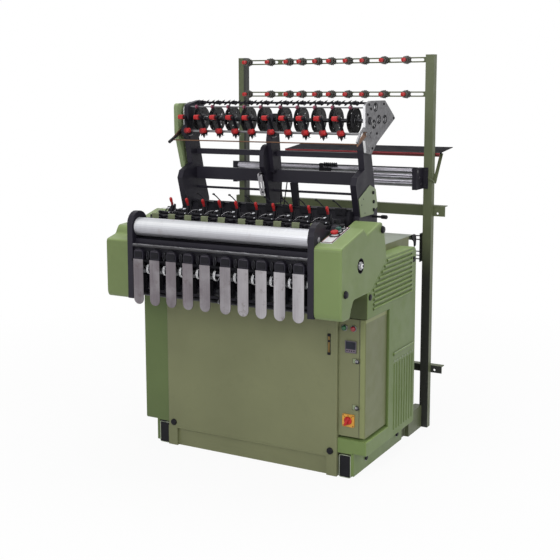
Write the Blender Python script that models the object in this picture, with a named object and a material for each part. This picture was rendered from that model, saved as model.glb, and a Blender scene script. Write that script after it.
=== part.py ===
"""Needle loom: a narrow-fabric weaving machine with ten heads, a weft feeder and a yarn frame behind.

Metres, +Z up. X runs along the front, Y from the front to the back, Z up from the floor.
Everything is modelled about the middle of the front panel (X = 0, Y = 0 on its face), and the
last step moves the whole machine so that the origin is under the middle of its bounding box.
"""

import math

import bmesh
import bpy
from mathutils import Vector

# Clearances, and how far a cutter runs past what it cuts
SEAT_GAP = 0.0003
PIN_GAP = 0.0005
RUN_GAP = 0.005
OVERRUN = 0.005
LAP = 0.004

# Base and body
HALF_WIDTH = 0.475
BODY_BOTTOM = 0.104
SHOULDER_TOP = 0.830
DECK_RISE = 0.230
DECK_TOP = SHOULDER_TOP + DECK_RISE
DECK_FRONT = 0.300
BODY_BACK = 0.700
WIDE_STEP = 0.070
WIDE_HALF = HALF_WIDTH + WIDE_STEP
WIDE_FRONT = 0.275
PANEL_DEPTH = 0.012
PANEL_TOP = 0.792
PANEL_EDGE = 0.006
KICK_DEPTH = 0.015
KICK_TOP = 0.095
FOOT_WIDTH = 0.053
PLINTH_LIFT = 0.004
SLOT_X = HALF_WIDTH - 0.045
SLOT_WIDTH = 0.010
SLOT_BOTTOM = 0.640
SLOT_TOP = 0.730
SKID_STEP = 0.005
SKID_INNER = HALF_WIDTH + SKID_STEP
SKID_WIDTH = 0.060
SKID_HEIGHT = 0.112
SKID_FRONT = 0.018
SKID_CORNER = 0.008
SKID_WALL = 0.004
PLUG_DEPTH = 0.004

# Side covers
COVER_DEPTH = 0.075
COVER_OUTER = WIDE_HALF + COVER_DEPTH
COVER_BACK = 0.615
COVER_TOP = DECK_TOP - 0.030
COVER_BOTTOM = 0.121
COVER_FRONT = 0.010
COVER_EDGE = 0.0035
SKIRT_TOP = 0.190
BASE_PLATE_WIDTH = 0.016
BASE_PLATE_BOTTOM = 0.012
BAR_RISE = 0.0058
BAR_SUNK = 0.002
LOUVRE_FIRST = SHOULDER_TOP - 0.022
LOUVRE_PITCH = 0.0225
LOUVRE_HEIGHT = 0.0135
LOUVRE_TOP_MARGIN = 0.019
LOUVRE_COUNT = 1 + int((COVER_TOP - LOUVRE_TOP_MARGIN - LOUVRE_FIRST) / LOUVRE_PITCH)
LOUVRE_FRONT = 0.085
LOUVRE_MARGIN = 0.040
LOUVRE_BACK = 0.560
GROOVE_DEPTH = 0.004
RIB_COUNT = 8
RIB_BOTTOM = 0.155
RIB_TOP = 0.487
RIB_FRONT = 0.345
RIB_BACK = 0.580
RIB_RISE = 0.003
RIB_WIDTH = 0.008
WAIST_Z = 0.535
WAIST_HEIGHT = 0.016
WAIST_FRONT = 0.330
WAIST_BACK = 0.590

# Control box
BOX_LEFT = HALF_WIDTH + SEAT_GAP
BOX_INSET = 0.011
BOX_RIGHT = COVER_OUTER - BOX_INSET
BOX_FRONT = 0.0175
BOX_BACK = 0.268
BOX_BOTTOM = 0.204
BOX_TOP = 0.766
BOX_WALL = 0.003
BOX_CORNER = 0.008
SEAM_X = BOX_RIGHT - 0.025
LAMP_Z = 0.722
LAMP_XS = (HALF_WIDTH + 0.029, HALF_WIDTH + 0.075)
LAMP_RADIUS = 0.015
LENS_RADIUS = 0.010
LAMP_LENGTH = 0.010
METER_X = HALF_WIDTH + 0.0635
METER_Z = 0.6355
METER_SIZE = 0.057
METER_DEPTH = 0.006
LATCH_X = SEAM_X - 0.012
LATCH_ZS = (0.349, 0.570)
LATCH_RADIUS = 0.009
LATCH_LENGTH = 0.009
ISOLATOR_X = HALF_WIDTH + 0.053
ISOLATOR_Z = 0.283
ISOLATOR_SIZE = 0.060
ISOLATOR_DEPTH = 0.007
KNOB_RADIUS = 0.017
KNOB_BASE = 0.006
KNOB_LENGTH = 0.022
GRIP_HALF_WIDTH = 0.006
GRIP_REACH = KNOB_RADIUS + 0.004
DOOR_OPEN_ROOM = 0.0055

# Head: the part that stands out over the front panel
PLATE_INSET = 0.009
PLATE_INNER = HALF_WIDTH - PLATE_INSET
PLATE_WIDTH = 0.030
PLATE_OUTER = PLATE_INNER + PLATE_WIDTH
PLATE_FRONT = -0.290
PLATE_BACK = 0.140
BETWEEN_PLATES = PLATE_INNER - SEAT_GAP
HEAD_WIDTH = 0.130
HEAD_OUTER = PLATE_OUTER + HEAD_WIDTH
HEAD_FRONT = -0.287
HEAD_BOTTOM = SHOULDER_TOP - 0.014
HEAD_EDGE = 0.008
HEAD_BOX_FRONT = -0.170
HEAD_BOX_TOP = DECK_TOP + 0.038
SLOPE_FRONT = (HEAD_FRONT, 1.138)
SLOPE_BACK = (-0.048, 1.196)
HEAD_EDGE_LOW = (0.031, 0.896)
HEAD_EDGE_HIGH = (0.220, 1.026)
CRANK_Y = -0.083
CRANK_Z = 1.035
CRANK_HOLE_RADIUS = 0.035
CRANK_RADIUS = 0.014
CRANK_NECK = 0.004
CRANK_SHOULDER = HEAD_OUTER - 0.030
CRANK_END = HEAD_OUTER - 0.012
ROLLER_Y = -0.238
ROLLER_Z = 1.163
ROLLER_RADIUS = 0.044
JOURNAL_RADIUS = 0.012
LOBE_RADIUS = 0.062
LOBE_STEP = 0.012

# Button panel on the slope of the right head cover
PANEL_START = 0.050
PANEL_END = 0.244
PANEL_CENTRE_X = HEAD_OUTER - 0.095
PANEL_HALF_WIDTH = 0.0275
PLATE_LIFT = 0.0005
PLATE_TOP = 0.004
BOSS_TOP = 0.010
BOSS_WALL = 0.004
BUTTON_ALONGS = (0.140, 0.185, 0.222)
BUTTON_RADII = (0.017, 0.012, 0.012)
STEM_RADIUS = 0.0075
STEM_BOTTOM = 0.005
CAP_BOTTOM = 0.0155
CAP_HEIGHT = 0.008

# Ten heads
HEAD_COUNT = 10
FIRST_HEAD_X = 0.0547
END_HEAD_MARGIN = 0.0479
HEAD_PITCH = (HALF_WIDTH - END_HEAD_MARGIN - FIRST_HEAD_X) / (HEAD_COUNT // 2 - 1)
GUARD_WIDTH = 0.056
GUARD_TOP = 1.0157
GUARD_BOTTOM = 0.798
GUARD_THICKNESS = 0.003
GUARD_Y = -0.300
GUARD_BAR_DEPTH = 0.011
GUARD_BAR_HEIGHT = 0.010
BRACKET_HALF_WIDTH = 0.0265
BRACKET_TOP = GUARD_TOP + 0.049
BRACKET_ROUND = 0.020
BEAM_FRONT = -0.262
BEAM_DEPTH = 0.062
FRONT_BEAM_BOTTOM = 1.078
FRONT_BEAM_HEIGHT = 0.030
WEB_REACH = 0.010
WEB_DEPTH = 0.016
WEB_HEIGHT = 0.052
GUIDE_ROD_Y = -0.282
GUIDE_ROD_Z = 1.079
GUIDE_ROD_RADIUS = 0.008
PRESS_Y = -0.250
PRESS_Z = 0.965
PRESS_RADIUS = 0.025
PRESS_SHAFT_RADIUS = 0.008
PRESS_WIDTH = 0.074
BED_TOP = HEAD_BOX_TOP + 0.042
BED_FRONT = -0.160
BLOCK_HALF_WIDTH = 0.026
BLOCK_FRONT = -0.135
HARNESS_FRONT = 0.120
HARNESS_LEAN = 0.030
HARNESS_BACK = DECK_FRONT - SEAT_GAP
HARNESS_TOP = BED_TOP + 0.100
REED_HALF_WIDTH = 0.021
REED_TOP = BED_TOP + 0.062
REED_FRONT = BED_FRONT - 0.004
REED_BAR = 0.010
LEVER_Y = -0.024
LEVER_DEPTH = 0.022
LEVER_HALF_WIDTH = 0.009
LEVER_BOTTOM = BED_TOP + 0.048
LEVER_TOP = LEVER_BOTTOM + 0.095
LEVER_SHAFT_Y = -0.014
LEVER_SHAFT_Z = BED_TOP + 0.052
LEVER_SHAFT_RADIUS = 0.007

# Stands and beams
CENTRE_STAND_X = -0.030
CENTRE_STAND_WIDTH = 0.024
NECK_WIDTH = 0.026
MID_BEAM_BOTTOM = HARNESS_TOP + 0.112
MID_BEAM_TOP = MID_BEAM_BOTTOM + 0.061
UPPER_BEAM_BOTTOM = MID_BEAM_TOP + 0.067
UPPER_BEAM_TOP = UPPER_BEAM_BOTTOM + 0.027
STAND_TOP = UPPER_BEAM_TOP + 0.068
BEAM_Y = 0.300
BEAM_WIDTH = 0.030
TIE_ROD_Z = MID_BEAM_BOTTOM - 0.044
TIE_ROD_RADIUS = 0.006
STAND_COVER_WIDTH = 0.005
LEG_FRONT = 0.272
LEG_DEPTH = 0.020
LEG_FOOT = (0.102, 0.132)
LEG_HEAD = (0.085, 0.121)
STAY_ROD_RADIUS = 0.003
STAY_ROD_Y = 0.2885
STAY_ROD_XS = ((0.024, 0.030), (0.043, 0.061))

# Weft feeder
FEED_Y = 0.275
FEED_Z = STAND_TOP + 0.085
FEED_SHAFT_RADIUS = 0.010
WHEEL_RADIUS = 0.062
WHEEL_SPLIT = 0.022
WHEEL_THICKNESS = 0.004
HUB_RADIUS = 0.024
GEARBOX_INNER = PLATE_INNER + 0.0025
GEARBOX_BEARING = 0.010
END_PLATE_THICKNESS = 0.012
END_PLATE_INNER = PLATE_OUTER + SEAT_GAP
END_PLATE_OUTER = END_PLATE_INNER + END_PLATE_THICKNESS
BIG_HOLE_RADIUS = 0.018
SMALL_HOLE_RADIUS = 0.006
RING_ROD_Y = FEED_Y - 0.043
RING_ROD_Z = FEED_Z + 0.062
TOP_ROD_Y = FEED_Y + 0.025
TOP_ROD_Z = FEED_Z + 0.082
TENSION_Y = FEED_Y - 0.074
TENSION_Z = FEED_Z - 0.059
TENSION_RADIUS = 0.006
BOSS_HALF = 0.012
CONE_RADIUS = 0.017
CONE_X = -0.030
UPPER_CONE_Y = TENSION_Y - 0.053
UPPER_CONE_Z = TENSION_Z + 0.070
FORK_X = -0.040
FORK_THICKNESS = 0.004
BAIL_Y = TENSION_Y - 0.081
BAIL_Z = TENSION_Z - 0.043
BAIL_RADIUS = 0.003
BAIL_CLEAR = 0.006
BAIL_ARM = 0.005
BAIL_LEFT = -PLATE_OUTER - BAIL_CLEAR - BAIL_ARM
BAIL_RIGHT = END_PLATE_OUTER + BAIL_CLEAR + BAIL_ARM
GEAR_COVER_INNER = BAIL_LEFT - RUN_GAP
GEAR_COVER_WIDTH = 0.060

# Rear yarn frame
POST_Y = 0.887
POST_DEPTH = 0.040
POST_BACK = POST_Y + POST_DEPTH
POST_WIDTH = 0.046
POST_RIGHT_X = WIDE_HALF + 0.004
POST_LEFT_X = -WIDE_HALF - 0.021
POST_TOP = 1.980
LINK_REACH = 0.030
LINK_LAP = 0.012
FOOT_LINK_TOP = 0.120
YARN_BAR_ZS = (POST_TOP - 0.026, POST_TOP - 0.202)
YARN_BAR_HEIGHT = 0.028
YARN_BAR_THICKNESS = 0.006
YARN_BAR_INSET = 0.012
YARN_SLOT_COUNT = 5
YARN_SLOT_HEIGHT = 0.014
YARN_SLOT_MARGIN = 0.012
TENSIONER_STEPS = (-0.0709, -0.019, 0.0039, -0.0092, -0.0063, -0.0337, -0.0288, -0.0259, -0.009, 0.0219)
TENSIONER_RADIUS = 0.020
TENSIONER_REACH = 0.075
ANGLE_LEFT = POST_LEFT_X - 0.045
ANGLE_RIGHT = POST_RIGHT_X + POST_WIDTH + 0.060
ANGLE_TOP = 1.198
ANGLE_HEIGHT = 0.056
LOW_ANGLE_TOP = 0.336
LOW_ANGLE_HEIGHT = 0.039
ANGLE_DEPTH = 0.040
ANGLE_WALL = 0.005
ANGLE_HOLE_X = ANGLE_RIGHT - 0.040
ANGLE_HOLE_RISE = 0.015
ANGLE_HOLE_RADIUS = 0.006
LEASE_Y = 0.870
LEASE_ZS = (0.919, 0.938, 0.959, 1.022, 1.042)
LEASE_RADIUS = 0.003
LEASE_PLATE = 0.004
LEASE_MARGIN = 0.014
PACK_Y = 0.830
PACK_Z = 1.350
PACK_RADIUS = 0.016
PACK_JOURNAL = 0.008
PACK_STEP_Y = 0.026
PACK_STEP_Z = 0.034
PACK_BLOCK = 0.024
PACK_LEFT = POST_LEFT_X + POST_WIDTH - 0.003
PACK_RIGHT = POST_RIGHT_X - PACK_BLOCK
PACK_BLOCK_FRONT = 0.785
PACK_BLOCK_TOP = PACK_Z + PACK_STEP_Z + 0.016
PACK_BLOCK_BOTTOM = PACK_Z - PACK_STEP_Z - 0.026
PACK_FLANGE_DEPTH = 0.008
PACK_FLANGE_REACH = 0.050
TRAY_RIGHT = POST_RIGHT_X + 0.063
TRAY_LEFT = TRAY_RIGHT - 0.912
TRAY_FRONT = 0.950
TRAY_BACK = 1.158
TRAY_FRONT_Z = 1.473
TRAY_BACK_Z = 1.493
TRAY_LIP = 0.020
TRAY_WALL = 0.003
STAY_THICKNESS = 0.006
STAY_WIDTH = 0.012
STRUT_BOTTOM = TRAY_FRONT_Z - 0.053


def clear_scene():
    for obj in list(bpy.data.objects):
        bpy.data.objects.remove(obj, do_unlink=True)


def material(name, colour, roughness=0.5, metallic=0.0):
    found = bpy.data.materials.get(name)
    if found:
        return found
    made = bpy.data.materials.new(name)
    made.use_nodes = True
    shader = made.node_tree.nodes["Principled BSDF"]
    shader.inputs["Base Color"].default_value = (*colour, 1.0)
    shader.inputs["Roughness"].default_value = roughness
    shader.inputs["Metallic"].default_value = metallic
    return made


def green():
    return material("green_paint", (0.29, 0.40, 0.20), 0.45)


def olive():
    return material("olive_paint", (0.22, 0.26, 0.14), 0.5)


def black():
    return material("black_paint", (0.03, 0.03, 0.045), 0.4)


def steel():
    return material("bright_steel", (0.70, 0.70, 0.72), 0.25, 1.0)


def cast_grey():
    return material("cast_grey", (0.36, 0.36, 0.37), 0.5, 0.6)


def red():
    return material("red_plastic", (0.75, 0.06, 0.05), 0.35)


def shape_object(mesh_builder):
    """Linked object from a finished bmesh, with every face pointing out."""
    bmesh.ops.recalc_face_normals(mesh_builder, faces=mesh_builder.faces)
    mesh = bpy.data.meshes.new("shape")
    mesh_builder.to_mesh(mesh)
    mesh_builder.free()
    obj = bpy.data.objects.new("shape", mesh)
    bpy.context.scene.collection.objects.link(obj)
    return obj


def point_on(axis, first, second, along):
    """World point from two coordinates across an axis and one along it."""
    if axis == "x":
        return (along, first, second)
    if axis == "y":
        return (first, along, second)
    return (first, second, along)


def loft(rings):
    """Closed shape through rings of points, with a flat face on each end."""
    builder = bmesh.new()
    loops = [[builder.verts.new(point) for point in ring] for ring in rings]
    builder.faces.new(loops[0])
    builder.faces.new(list(reversed(loops[-1])))
    count = len(loops[0])
    for near, far in zip(loops, loops[1:]):
        for i in range(count):
            j = (i + 1) % count
            builder.faces.new((near[i], near[j], far[j], far[i]))
    return shape_object(builder)


def prism(axis, outline, start, end):
    """Outline across an axis, drawn out from start to end along it."""
    return loft([[point_on(axis, a, b, along) for a, b in outline] for along in (start, end)])


def box(x0, x1, y0, y1, z0, z1):
    return prism("x", [(y0, z0), (y1, z0), (y1, z1), (y0, z1)], x0, x1)


def turned(axis, profile, centre, segments=20):
    """Profile of (along, radius) pairs turned about an axis through centre, its two cross coordinates."""
    rings = []
    for along, radius in profile:
        ring = []
        for i in range(segments):
            angle = 2 * math.pi * i / segments
            first = centre[0] + radius * math.cos(angle)
            second = centre[1] + radius * math.sin(angle)
            ring.append(point_on(axis, first, second, along))
        rings.append(ring)
    return loft(rings)


def rod(axis, centre, radius, start, end, segments=12):
    return turned(axis, [(start, radius), (end, radius)], centre, segments)


def rounded(corners, steps=4):
    """Outline whose corners (a, b, radius) become arcs. A radius of 0 keeps the corner sharp."""
    points = []
    count = len(corners)
    for i, (a, b, radius) in enumerate(corners):
        here = Vector((a, b))
        if radius == 0:
            points.append((a, b))
            continue
        before = (Vector(corners[i - 1][:2]) - here).normalized()
        after = (Vector(corners[(i + 1) % count][:2]) - here).normalized()
        half = before.angle(after) / 2
        reach = radius / math.tan(half)
        centre = here + (before + after).normalized() * radius / math.sin(half)
        start = here + before * reach - centre
        end = here + after * reach - centre
        turn = start.angle_signed(end)
        for k in range(steps + 1):
            angle = -turn * k / steps
            spun = Vector(
                (
                    start.x * math.cos(angle) - start.y * math.sin(angle),
                    start.x * math.sin(angle) + start.y * math.cos(angle),
                )
            )
            points.append(tuple(centre + spun))
    return points


def arc(centre, radius, start_degrees, end_degrees, steps=8):
    """Points along an arc, for use inside an outline."""
    points = []
    for k in range(steps + 1):
        angle = math.radians(start_degrees + (end_degrees - start_degrees) * k / steps)
        points.append((centre[0] + radius * math.cos(angle), centre[1] + radius * math.sin(angle)))
    return points


def band(points, width):
    """Outline of a flat bar of one width, bent along points."""
    path = [Vector(point) for point in points]
    near = []
    far = []
    for i, here in enumerate(path):
        leave = (path[i + 1] - here).normalized() if i + 1 < len(path) else (here - path[i - 1]).normalized()
        arrive = (here - path[i - 1]).normalized() if i > 0 else leave
        along = (arrive + leave).normalized()
        side = Vector((-along.y, along.x)) * (width / 2 / along.dot(arrive))
        near.append(tuple(here + side))
        far.append(tuple(here - side))
    return near + far[::-1]


def combine(base, others, operation="UNION"):
    """Boolean of base with all the others at once. The others are used up."""
    if not others:
        return base
    group = bpy.data.collections.new("operands")
    bpy.context.scene.collection.children.link(group)
    for other in others:
        group.objects.link(other)
        bpy.context.scene.collection.objects.unlink(other)
    modifier = base.modifiers.new("combine", "BOOLEAN")
    modifier.operation = operation
    modifier.solver = "EXACT"
    modifier.operand_type = "COLLECTION"
    modifier.collection = group
    bpy.context.view_layer.update()
    graph = bpy.context.evaluated_depsgraph_get()
    mesh = bpy.data.meshes.new_from_object(base.evaluated_get(graph))
    base.modifiers.clear()
    base.data = mesh
    for other in others:
        bpy.data.objects.remove(other, do_unlink=True)
    bpy.data.collections.remove(group)
    return base


def cut(base, cutters):
    return combine(base, cutters, "DIFFERENCE")


def bevel_cap(obj, axis, along, width, segments=3):
    """Round the edges of the flat face that lies across an axis at a given place."""
    builder = bmesh.new()
    builder.from_mesh(obj.data)
    index = "xyz".index(axis)
    edges = [
        edge
        for edge in builder.edges
        if all(abs(vert.co[index] - along) < SEAT_GAP / 3 for vert in edge.verts)
    ]
    bmesh.ops.bevel(builder, geom=edges, offset=width, segments=segments, profile=0.5, affect="EDGES")
    builder.to_mesh(obj.data)
    builder.free()
    return obj


def finish(obj, name, paint, pivot=(0.0, 0.0, 0.0)):
    """Name, paint and smooth a piece, and put its origin on the pivot."""
    obj.name = name
    obj.data.name = name
    obj.data.materials.clear()
    obj.data.materials.append(paint)
    obj.data.shade_smooth()
    obj.data.set_sharp_from_angle(angle=math.radians(35))
    offset = Vector(pivot)
    for vert in obj.data.vertices:
        vert.co -= offset
    obj.location = offset
    return obj


def head_xs():
    """The X of each of the ten heads, from left to right."""
    half = [FIRST_HEAD_X + HEAD_PITCH * k for k in range(HEAD_COUNT // 2)]
    return [-x for x in reversed(half)] + half


def slope_angle():
    return math.atan2(SLOPE_BACK[1] - SLOPE_FRONT[1], SLOPE_BACK[0] - SLOPE_FRONT[0])


def slope_point(along, height):
    """(Y, Z) on the sloping top of a head cover, from its front corner."""
    angle = slope_angle()
    y = SLOPE_FRONT[0] + along * math.cos(angle) - height * math.sin(angle)
    z = SLOPE_FRONT[1] + along * math.sin(angle) + height * math.cos(angle)
    return (y, z)


def skid(side):
    """One rectangular tube under the machine, with a shallow seat for its plug at the front."""
    inner = side * SKID_INNER
    outer = side * (SKID_INNER + SKID_WIDTH)
    left, right = min(inner, outer), max(inner, outer)
    foot = [(left, 0, SKID_CORNER), (right, 0, SKID_CORNER)]
    top = [(right, SKID_HEIGHT, SKID_CORNER), (left, SKID_HEIGHT, SKID_CORNER)]
    outline = rounded(foot + top, 3)
    tube = prism("y", outline, SKID_FRONT, BODY_BACK)
    seat = box(
        left + SKID_WALL,
        right - SKID_WALL,
        SKID_FRONT - OVERRUN,
        SKID_FRONT + PLUG_DEPTH,
        SKID_WALL,
        SKID_HEIGHT - SKID_WALL,
    )
    return cut(tube, [seat])


def plinth():
    block = box(-HALF_WIDTH, HALF_WIDTH, 0, BODY_BACK, PLINTH_LIFT, BODY_BOTTOM - SEAT_GAP)
    half = HALF_WIDTH - FOOT_WIDTH
    kick = box(-half, half, -OVERRUN, KICK_DEPTH, PLINTH_LIFT - OVERRUN, KICK_TOP)
    return cut(block, [kick])


def front_panel():
    face = [(-HALF_WIDTH, 0, PANEL_EDGE), (HALF_WIDTH, 0, PANEL_EDGE)]
    back = [(HALF_WIDTH, PANEL_DEPTH, 0), (-HALF_WIDTH, PANEL_DEPTH, 0)]
    sheet = prism("z", rounded(face + back, 3), BODY_BOTTOM, PANEL_TOP)
    half = SLOT_WIDTH / 2
    slot = box(SLOT_X - half, SLOT_X + half, -OVERRUN, PANEL_DEPTH / 2, SLOT_BOTTOM, SLOT_TOP)
    return cut(sheet, [slot])


def cabinet():
    """The closed body behind the front panel, wider behind the control box, with the deck on top."""
    front = PANEL_DEPTH + SEAT_GAP
    bottom = BODY_BOTTOM + SEAT_GAP
    side_profile = [
        (front, bottom),
        (BODY_BACK, bottom),
        (BODY_BACK, DECK_TOP),
        (DECK_FRONT, DECK_TOP),
        (DECK_FRONT, SHOULDER_TOP),
        (front, SHOULDER_TOP),
    ]
    middle = prism("x", side_profile, -HALF_WIDTH, HALF_WIDTH)
    wide = box(-WIDE_HALF, WIDE_HALF, WIDE_FRONT, BODY_BACK, COVER_BOTTOM + LAP + SEAT_GAP, DECK_TOP)
    reach = WIDE_HALF + OVERRUN
    shoulder = box(-reach, reach, 0, DECK_FRONT, SHOULDER_TOP, DECK_TOP + OVERRUN)
    return combine(middle, [cut(wide, [shoulder])])


def side_cover(side):
    """Moulded cover over the side of the body, with louvres above and ribs below.

    The right one leaves a recess at the front for the control box and its door.
    """
    low_y, low_z = HEAD_EDGE_LOW
    high_y, high_z = HEAD_EDGE_HIGH
    gap = 2 * SEAT_GAP
    box_room = BOX_BACK + DOOR_OPEN_ROOM
    box_top = BOX_TOP + RUN_GAP
    recess = [(COVER_FRONT, box_top, 0), (box_room, box_top, 0)]
    recess += [(box_room, SKIRT_TOP, 0), (COVER_FRONT, SKIRT_TOP, 0)]
    outline = [
        (COVER_FRONT, COVER_BOTTOM, 0.010),
        (COVER_BACK, COVER_BOTTOM, 0.020),
        (COVER_BACK, COVER_TOP, 0.035),
        (high_y + gap, COVER_TOP, 0),
        (high_y + gap, high_z, 0),
        (low_y + gap, low_z - gap, 0),
        (COVER_FRONT, low_z - 2 * gap, 0),
    ]
    if side > 0:
        outline += recess
    slab = prism("x", rounded(outline), WIDE_HALF + SEAT_GAP, COVER_OUTER)
    bevel_cap(slab, "x", COVER_OUTER, COVER_EDGE)
    cut(slab, grooves())
    body_side = HALF_WIDTH + SEAT_GAP
    body_step = WIDE_FRONT - SEAT_GAP
    reach = WIDE_HALF + LAP
    upper = box(body_side, reach, COVER_FRONT, body_step, box_top, low_z - 3 * LAP)
    plate_room = box(0, PLATE_OUTER + SEAT_GAP, 0, WIDE_FRONT, SHOULDER_TOP, 1)
    cut(upper, [plate_room])
    skirt = box(body_side, reach, COVER_FRONT, body_step, COVER_BOTTOM, SKIRT_TOP)
    base_inner = SKID_INNER + SKID_WIDTH + SEAT_GAP
    base_outer = base_inner + BASE_PLATE_WIDTH
    base_plate = box(base_inner, base_outer, SKID_FRONT, COVER_BACK, BASE_PLATE_BOTTOM, COVER_BOTTOM + LAP)
    extras = [upper, skirt, base_plate]
    if side < 0:
        extras.append(box(body_side, reach, COVER_FRONT, body_step, SKIRT_TOP - LAP, box_top + LAP))
    extras += louvres()
    extras += ribs()
    cover = combine(slab, extras)
    return cover if side > 0 else mirrored(cover)


def louvre_front(z):
    """Where a louvre starts: beside the head cover, or along the diagonal under it."""
    low_y, low_z = HEAD_EDGE_LOW
    high_y, high_z = HEAD_EDGE_HIGH
    if z < low_z:
        return LOUVRE_FRONT - (low_z - z) / 10
    return low_y + LOUVRE_MARGIN + (z - low_z) * (high_y - low_y) / (high_z - low_z)


def louvres():
    heights = [LOUVRE_FIRST + LOUVRE_PITCH * k for k in range(LOUVRE_COUNT)]
    return [half_round_bar(louvre_front(z), LOUVRE_BACK, z, LOUVRE_HEIGHT) for z in heights]


def grooves():
    """Shallow grooves between the louvres, a little narrower than the space between them."""
    inner = COVER_OUTER - GROOVE_DEPTH
    outer = COVER_OUTER + OVERRUN
    cutters = []
    for k in range(LOUVRE_COUNT - 1):
        low = LOUVRE_FIRST + LOUVRE_PITCH * k + LOUVRE_HEIGHT / 2 + PIN_GAP
        high = low + LOUVRE_PITCH - LOUVRE_HEIGHT - 2 * PIN_GAP
        cutters.append(box(inner, outer, louvre_front(high) + LAP, LOUVRE_BACK - LAP, low, high))
    return cutters


def half_round_bar(front, back, z, height):
    """Bar along Y on the outer face of the cover, half round in section."""
    root = COVER_OUTER - BAR_SUNK
    section = [(root, z - height / 2), (root, z + height / 2)]
    for degrees in (35, 65, 90, 115, 145):
        turn = math.radians(degrees)
        section.append((COVER_OUTER + BAR_RISE * math.sin(turn), z + height / 2 * math.cos(turn)))
    return prism("y", section, front, back)


def ribs():
    """Upright ribs on the lower cover, and the bar across its waist."""
    step = (RIB_BACK - RIB_FRONT) / (RIB_COUNT - 1)
    foot, top = COVER_OUTER - RIB_RISE, COVER_OUTER + RIB_RISE
    half = RIB_WIDTH / 2
    bars = []
    for k in range(RIB_COUNT):
        y = RIB_FRONT + step * k
        outline = [(foot, y - half), (top, y - half / 2), (top, y + half / 2), (foot, y + half)]
        bars.append(prism("z", outline, RIB_BOTTOM, RIB_TOP))
    bars.append(half_round_bar(WAIST_FRONT, WAIST_BACK, WAIST_Z, WAIST_HEIGHT))
    return bars


def mirrored(obj):
    """The same piece on the other side of the machine."""
    for vert in obj.data.vertices:
        vert.co.x = -vert.co.x
    obj.data.flip_normals()
    return obj


def control_box():
    """Sheet-metal box, open to its side and front corner where the door closes it."""
    door_inner = BOX_RIGHT - BOX_WALL - SEAT_GAP
    shell = box(BOX_LEFT, door_inner, BOX_FRONT, BOX_BACK, BOX_BOTTOM, BOX_TOP)
    room = box(
        BOX_LEFT + BOX_WALL,
        BOX_RIGHT,
        BOX_FRONT + BOX_WALL,
        BOX_BACK - BOX_WALL,
        BOX_BOTTOM + BOX_WALL,
        BOX_TOP - BOX_WALL,
    )
    corner = box(
        SEAM_X - SEAT_GAP,
        BOX_RIGHT,
        BOX_FRONT - OVERRUN,
        BOX_FRONT + BOX_WALL + SEAT_GAP,
        BOX_BOTTOM - OVERRUN,
        BOX_TOP + OVERRUN,
    )
    cut(shell, [room, corner])
    root = BOX_FRONT + BOX_WALL / 2
    bezel = [(root, LAMP_RADIUS), (BOX_FRONT - LAP, LAMP_RADIUS), (BOX_FRONT - LAMP_LENGTH, LENS_RADIUS)]
    fittings = [turned("y", bezel, (x, LAMP_Z), 16) for x in LAMP_XS]
    half = METER_SIZE / 2
    face = BOX_FRONT - METER_DEPTH
    fittings.append(box(METER_X - half, METER_X + half, face, root, METER_Z - half, METER_Z + half))
    fittings += [rod("y", (LATCH_X, z), LATCH_RADIUS, BOX_FRONT - LATCH_LENGTH, root) for z in LATCH_ZS]
    return combine(shell, fittings)


def control_box_door():
    """Door over the side of the box, folded round the front corner."""
    outline = rounded(
        [
            (SEAM_X, BOX_FRONT, 0),
            (BOX_RIGHT, BOX_FRONT, BOX_CORNER),
            (BOX_RIGHT, BOX_BACK, 0),
            (BOX_RIGHT - BOX_WALL, BOX_BACK, 0),
            (BOX_RIGHT - BOX_WALL, BOX_FRONT + BOX_WALL, 0),
            (SEAM_X, BOX_FRONT + BOX_WALL, 0),
        ]
    )
    return prism("z", outline, BOX_BOTTOM, BOX_TOP)


def isolator_plate():
    half = ISOLATOR_SIZE / 2
    corners = [(-half, -half), (half, -half), (half, half), (-half, half)]
    outline = rounded([(ISOLATOR_X + a, ISOLATOR_Z + b, LAP) for a, b in corners])
    return prism("y", outline, BOX_FRONT - SEAT_GAP - ISOLATOR_DEPTH, BOX_FRONT - SEAT_GAP)


def isolator_knob():
    """Round base with a grip across it."""
    seat = BOX_FRONT - SEAT_GAP - ISOLATOR_DEPTH - PIN_GAP
    base = rod("y", (ISOLATOR_X, ISOLATOR_Z), KNOB_RADIUS, seat - KNOB_BASE, seat, 24)
    grip = box(
        ISOLATOR_X - GRIP_HALF_WIDTH,
        ISOLATOR_X + GRIP_HALF_WIDTH,
        seat - KNOB_LENGTH,
        seat - KNOB_BASE / 2,
        ISOLATOR_Z - GRIP_REACH,
        ISOLATOR_Z + GRIP_REACH,
    )
    return combine(base, [grip])


def head_cover_outline():
    """Side view of a head cover, (Y, Z, corner radius)."""
    return [
        (HEAD_FRONT, HEAD_BOTTOM, 0.030),
        (*SLOPE_FRONT, 0.020),
        (*SLOPE_BACK, 0),
        (-0.012, 1.165, 0.004),
        (0.133, 1.202, 0.012),
        (0.158, 1.202, 0.012),
        (0.190, 1.148, 0.020),
        (*HEAD_EDGE_HIGH, 0.012),
        (*HEAD_EDGE_LOW, 0.030),
        (-0.151, 0.892, 0.020),
        (-0.177, 0.855, 0.010),
        (-0.192, HEAD_BOTTOM, 0.010),
    ]


def head_cover(side):
    outline = rounded(head_cover_outline(), 3)
    cover = prism("x", outline, PLATE_OUTER + SEAT_GAP, HEAD_OUTER)
    bevel_cap(cover, "x", HEAD_OUTER, HEAD_EDGE, 2)
    if side > 0:
        left, right = PLATE_OUTER - OVERRUN, HEAD_OUTER + OVERRUN
        cut(cover, [rod("x", (CRANK_Y, CRANK_Z), CRANK_HOLE_RADIUS, left, right, 24)])
        return cover
    return mirrored(cover)


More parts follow.
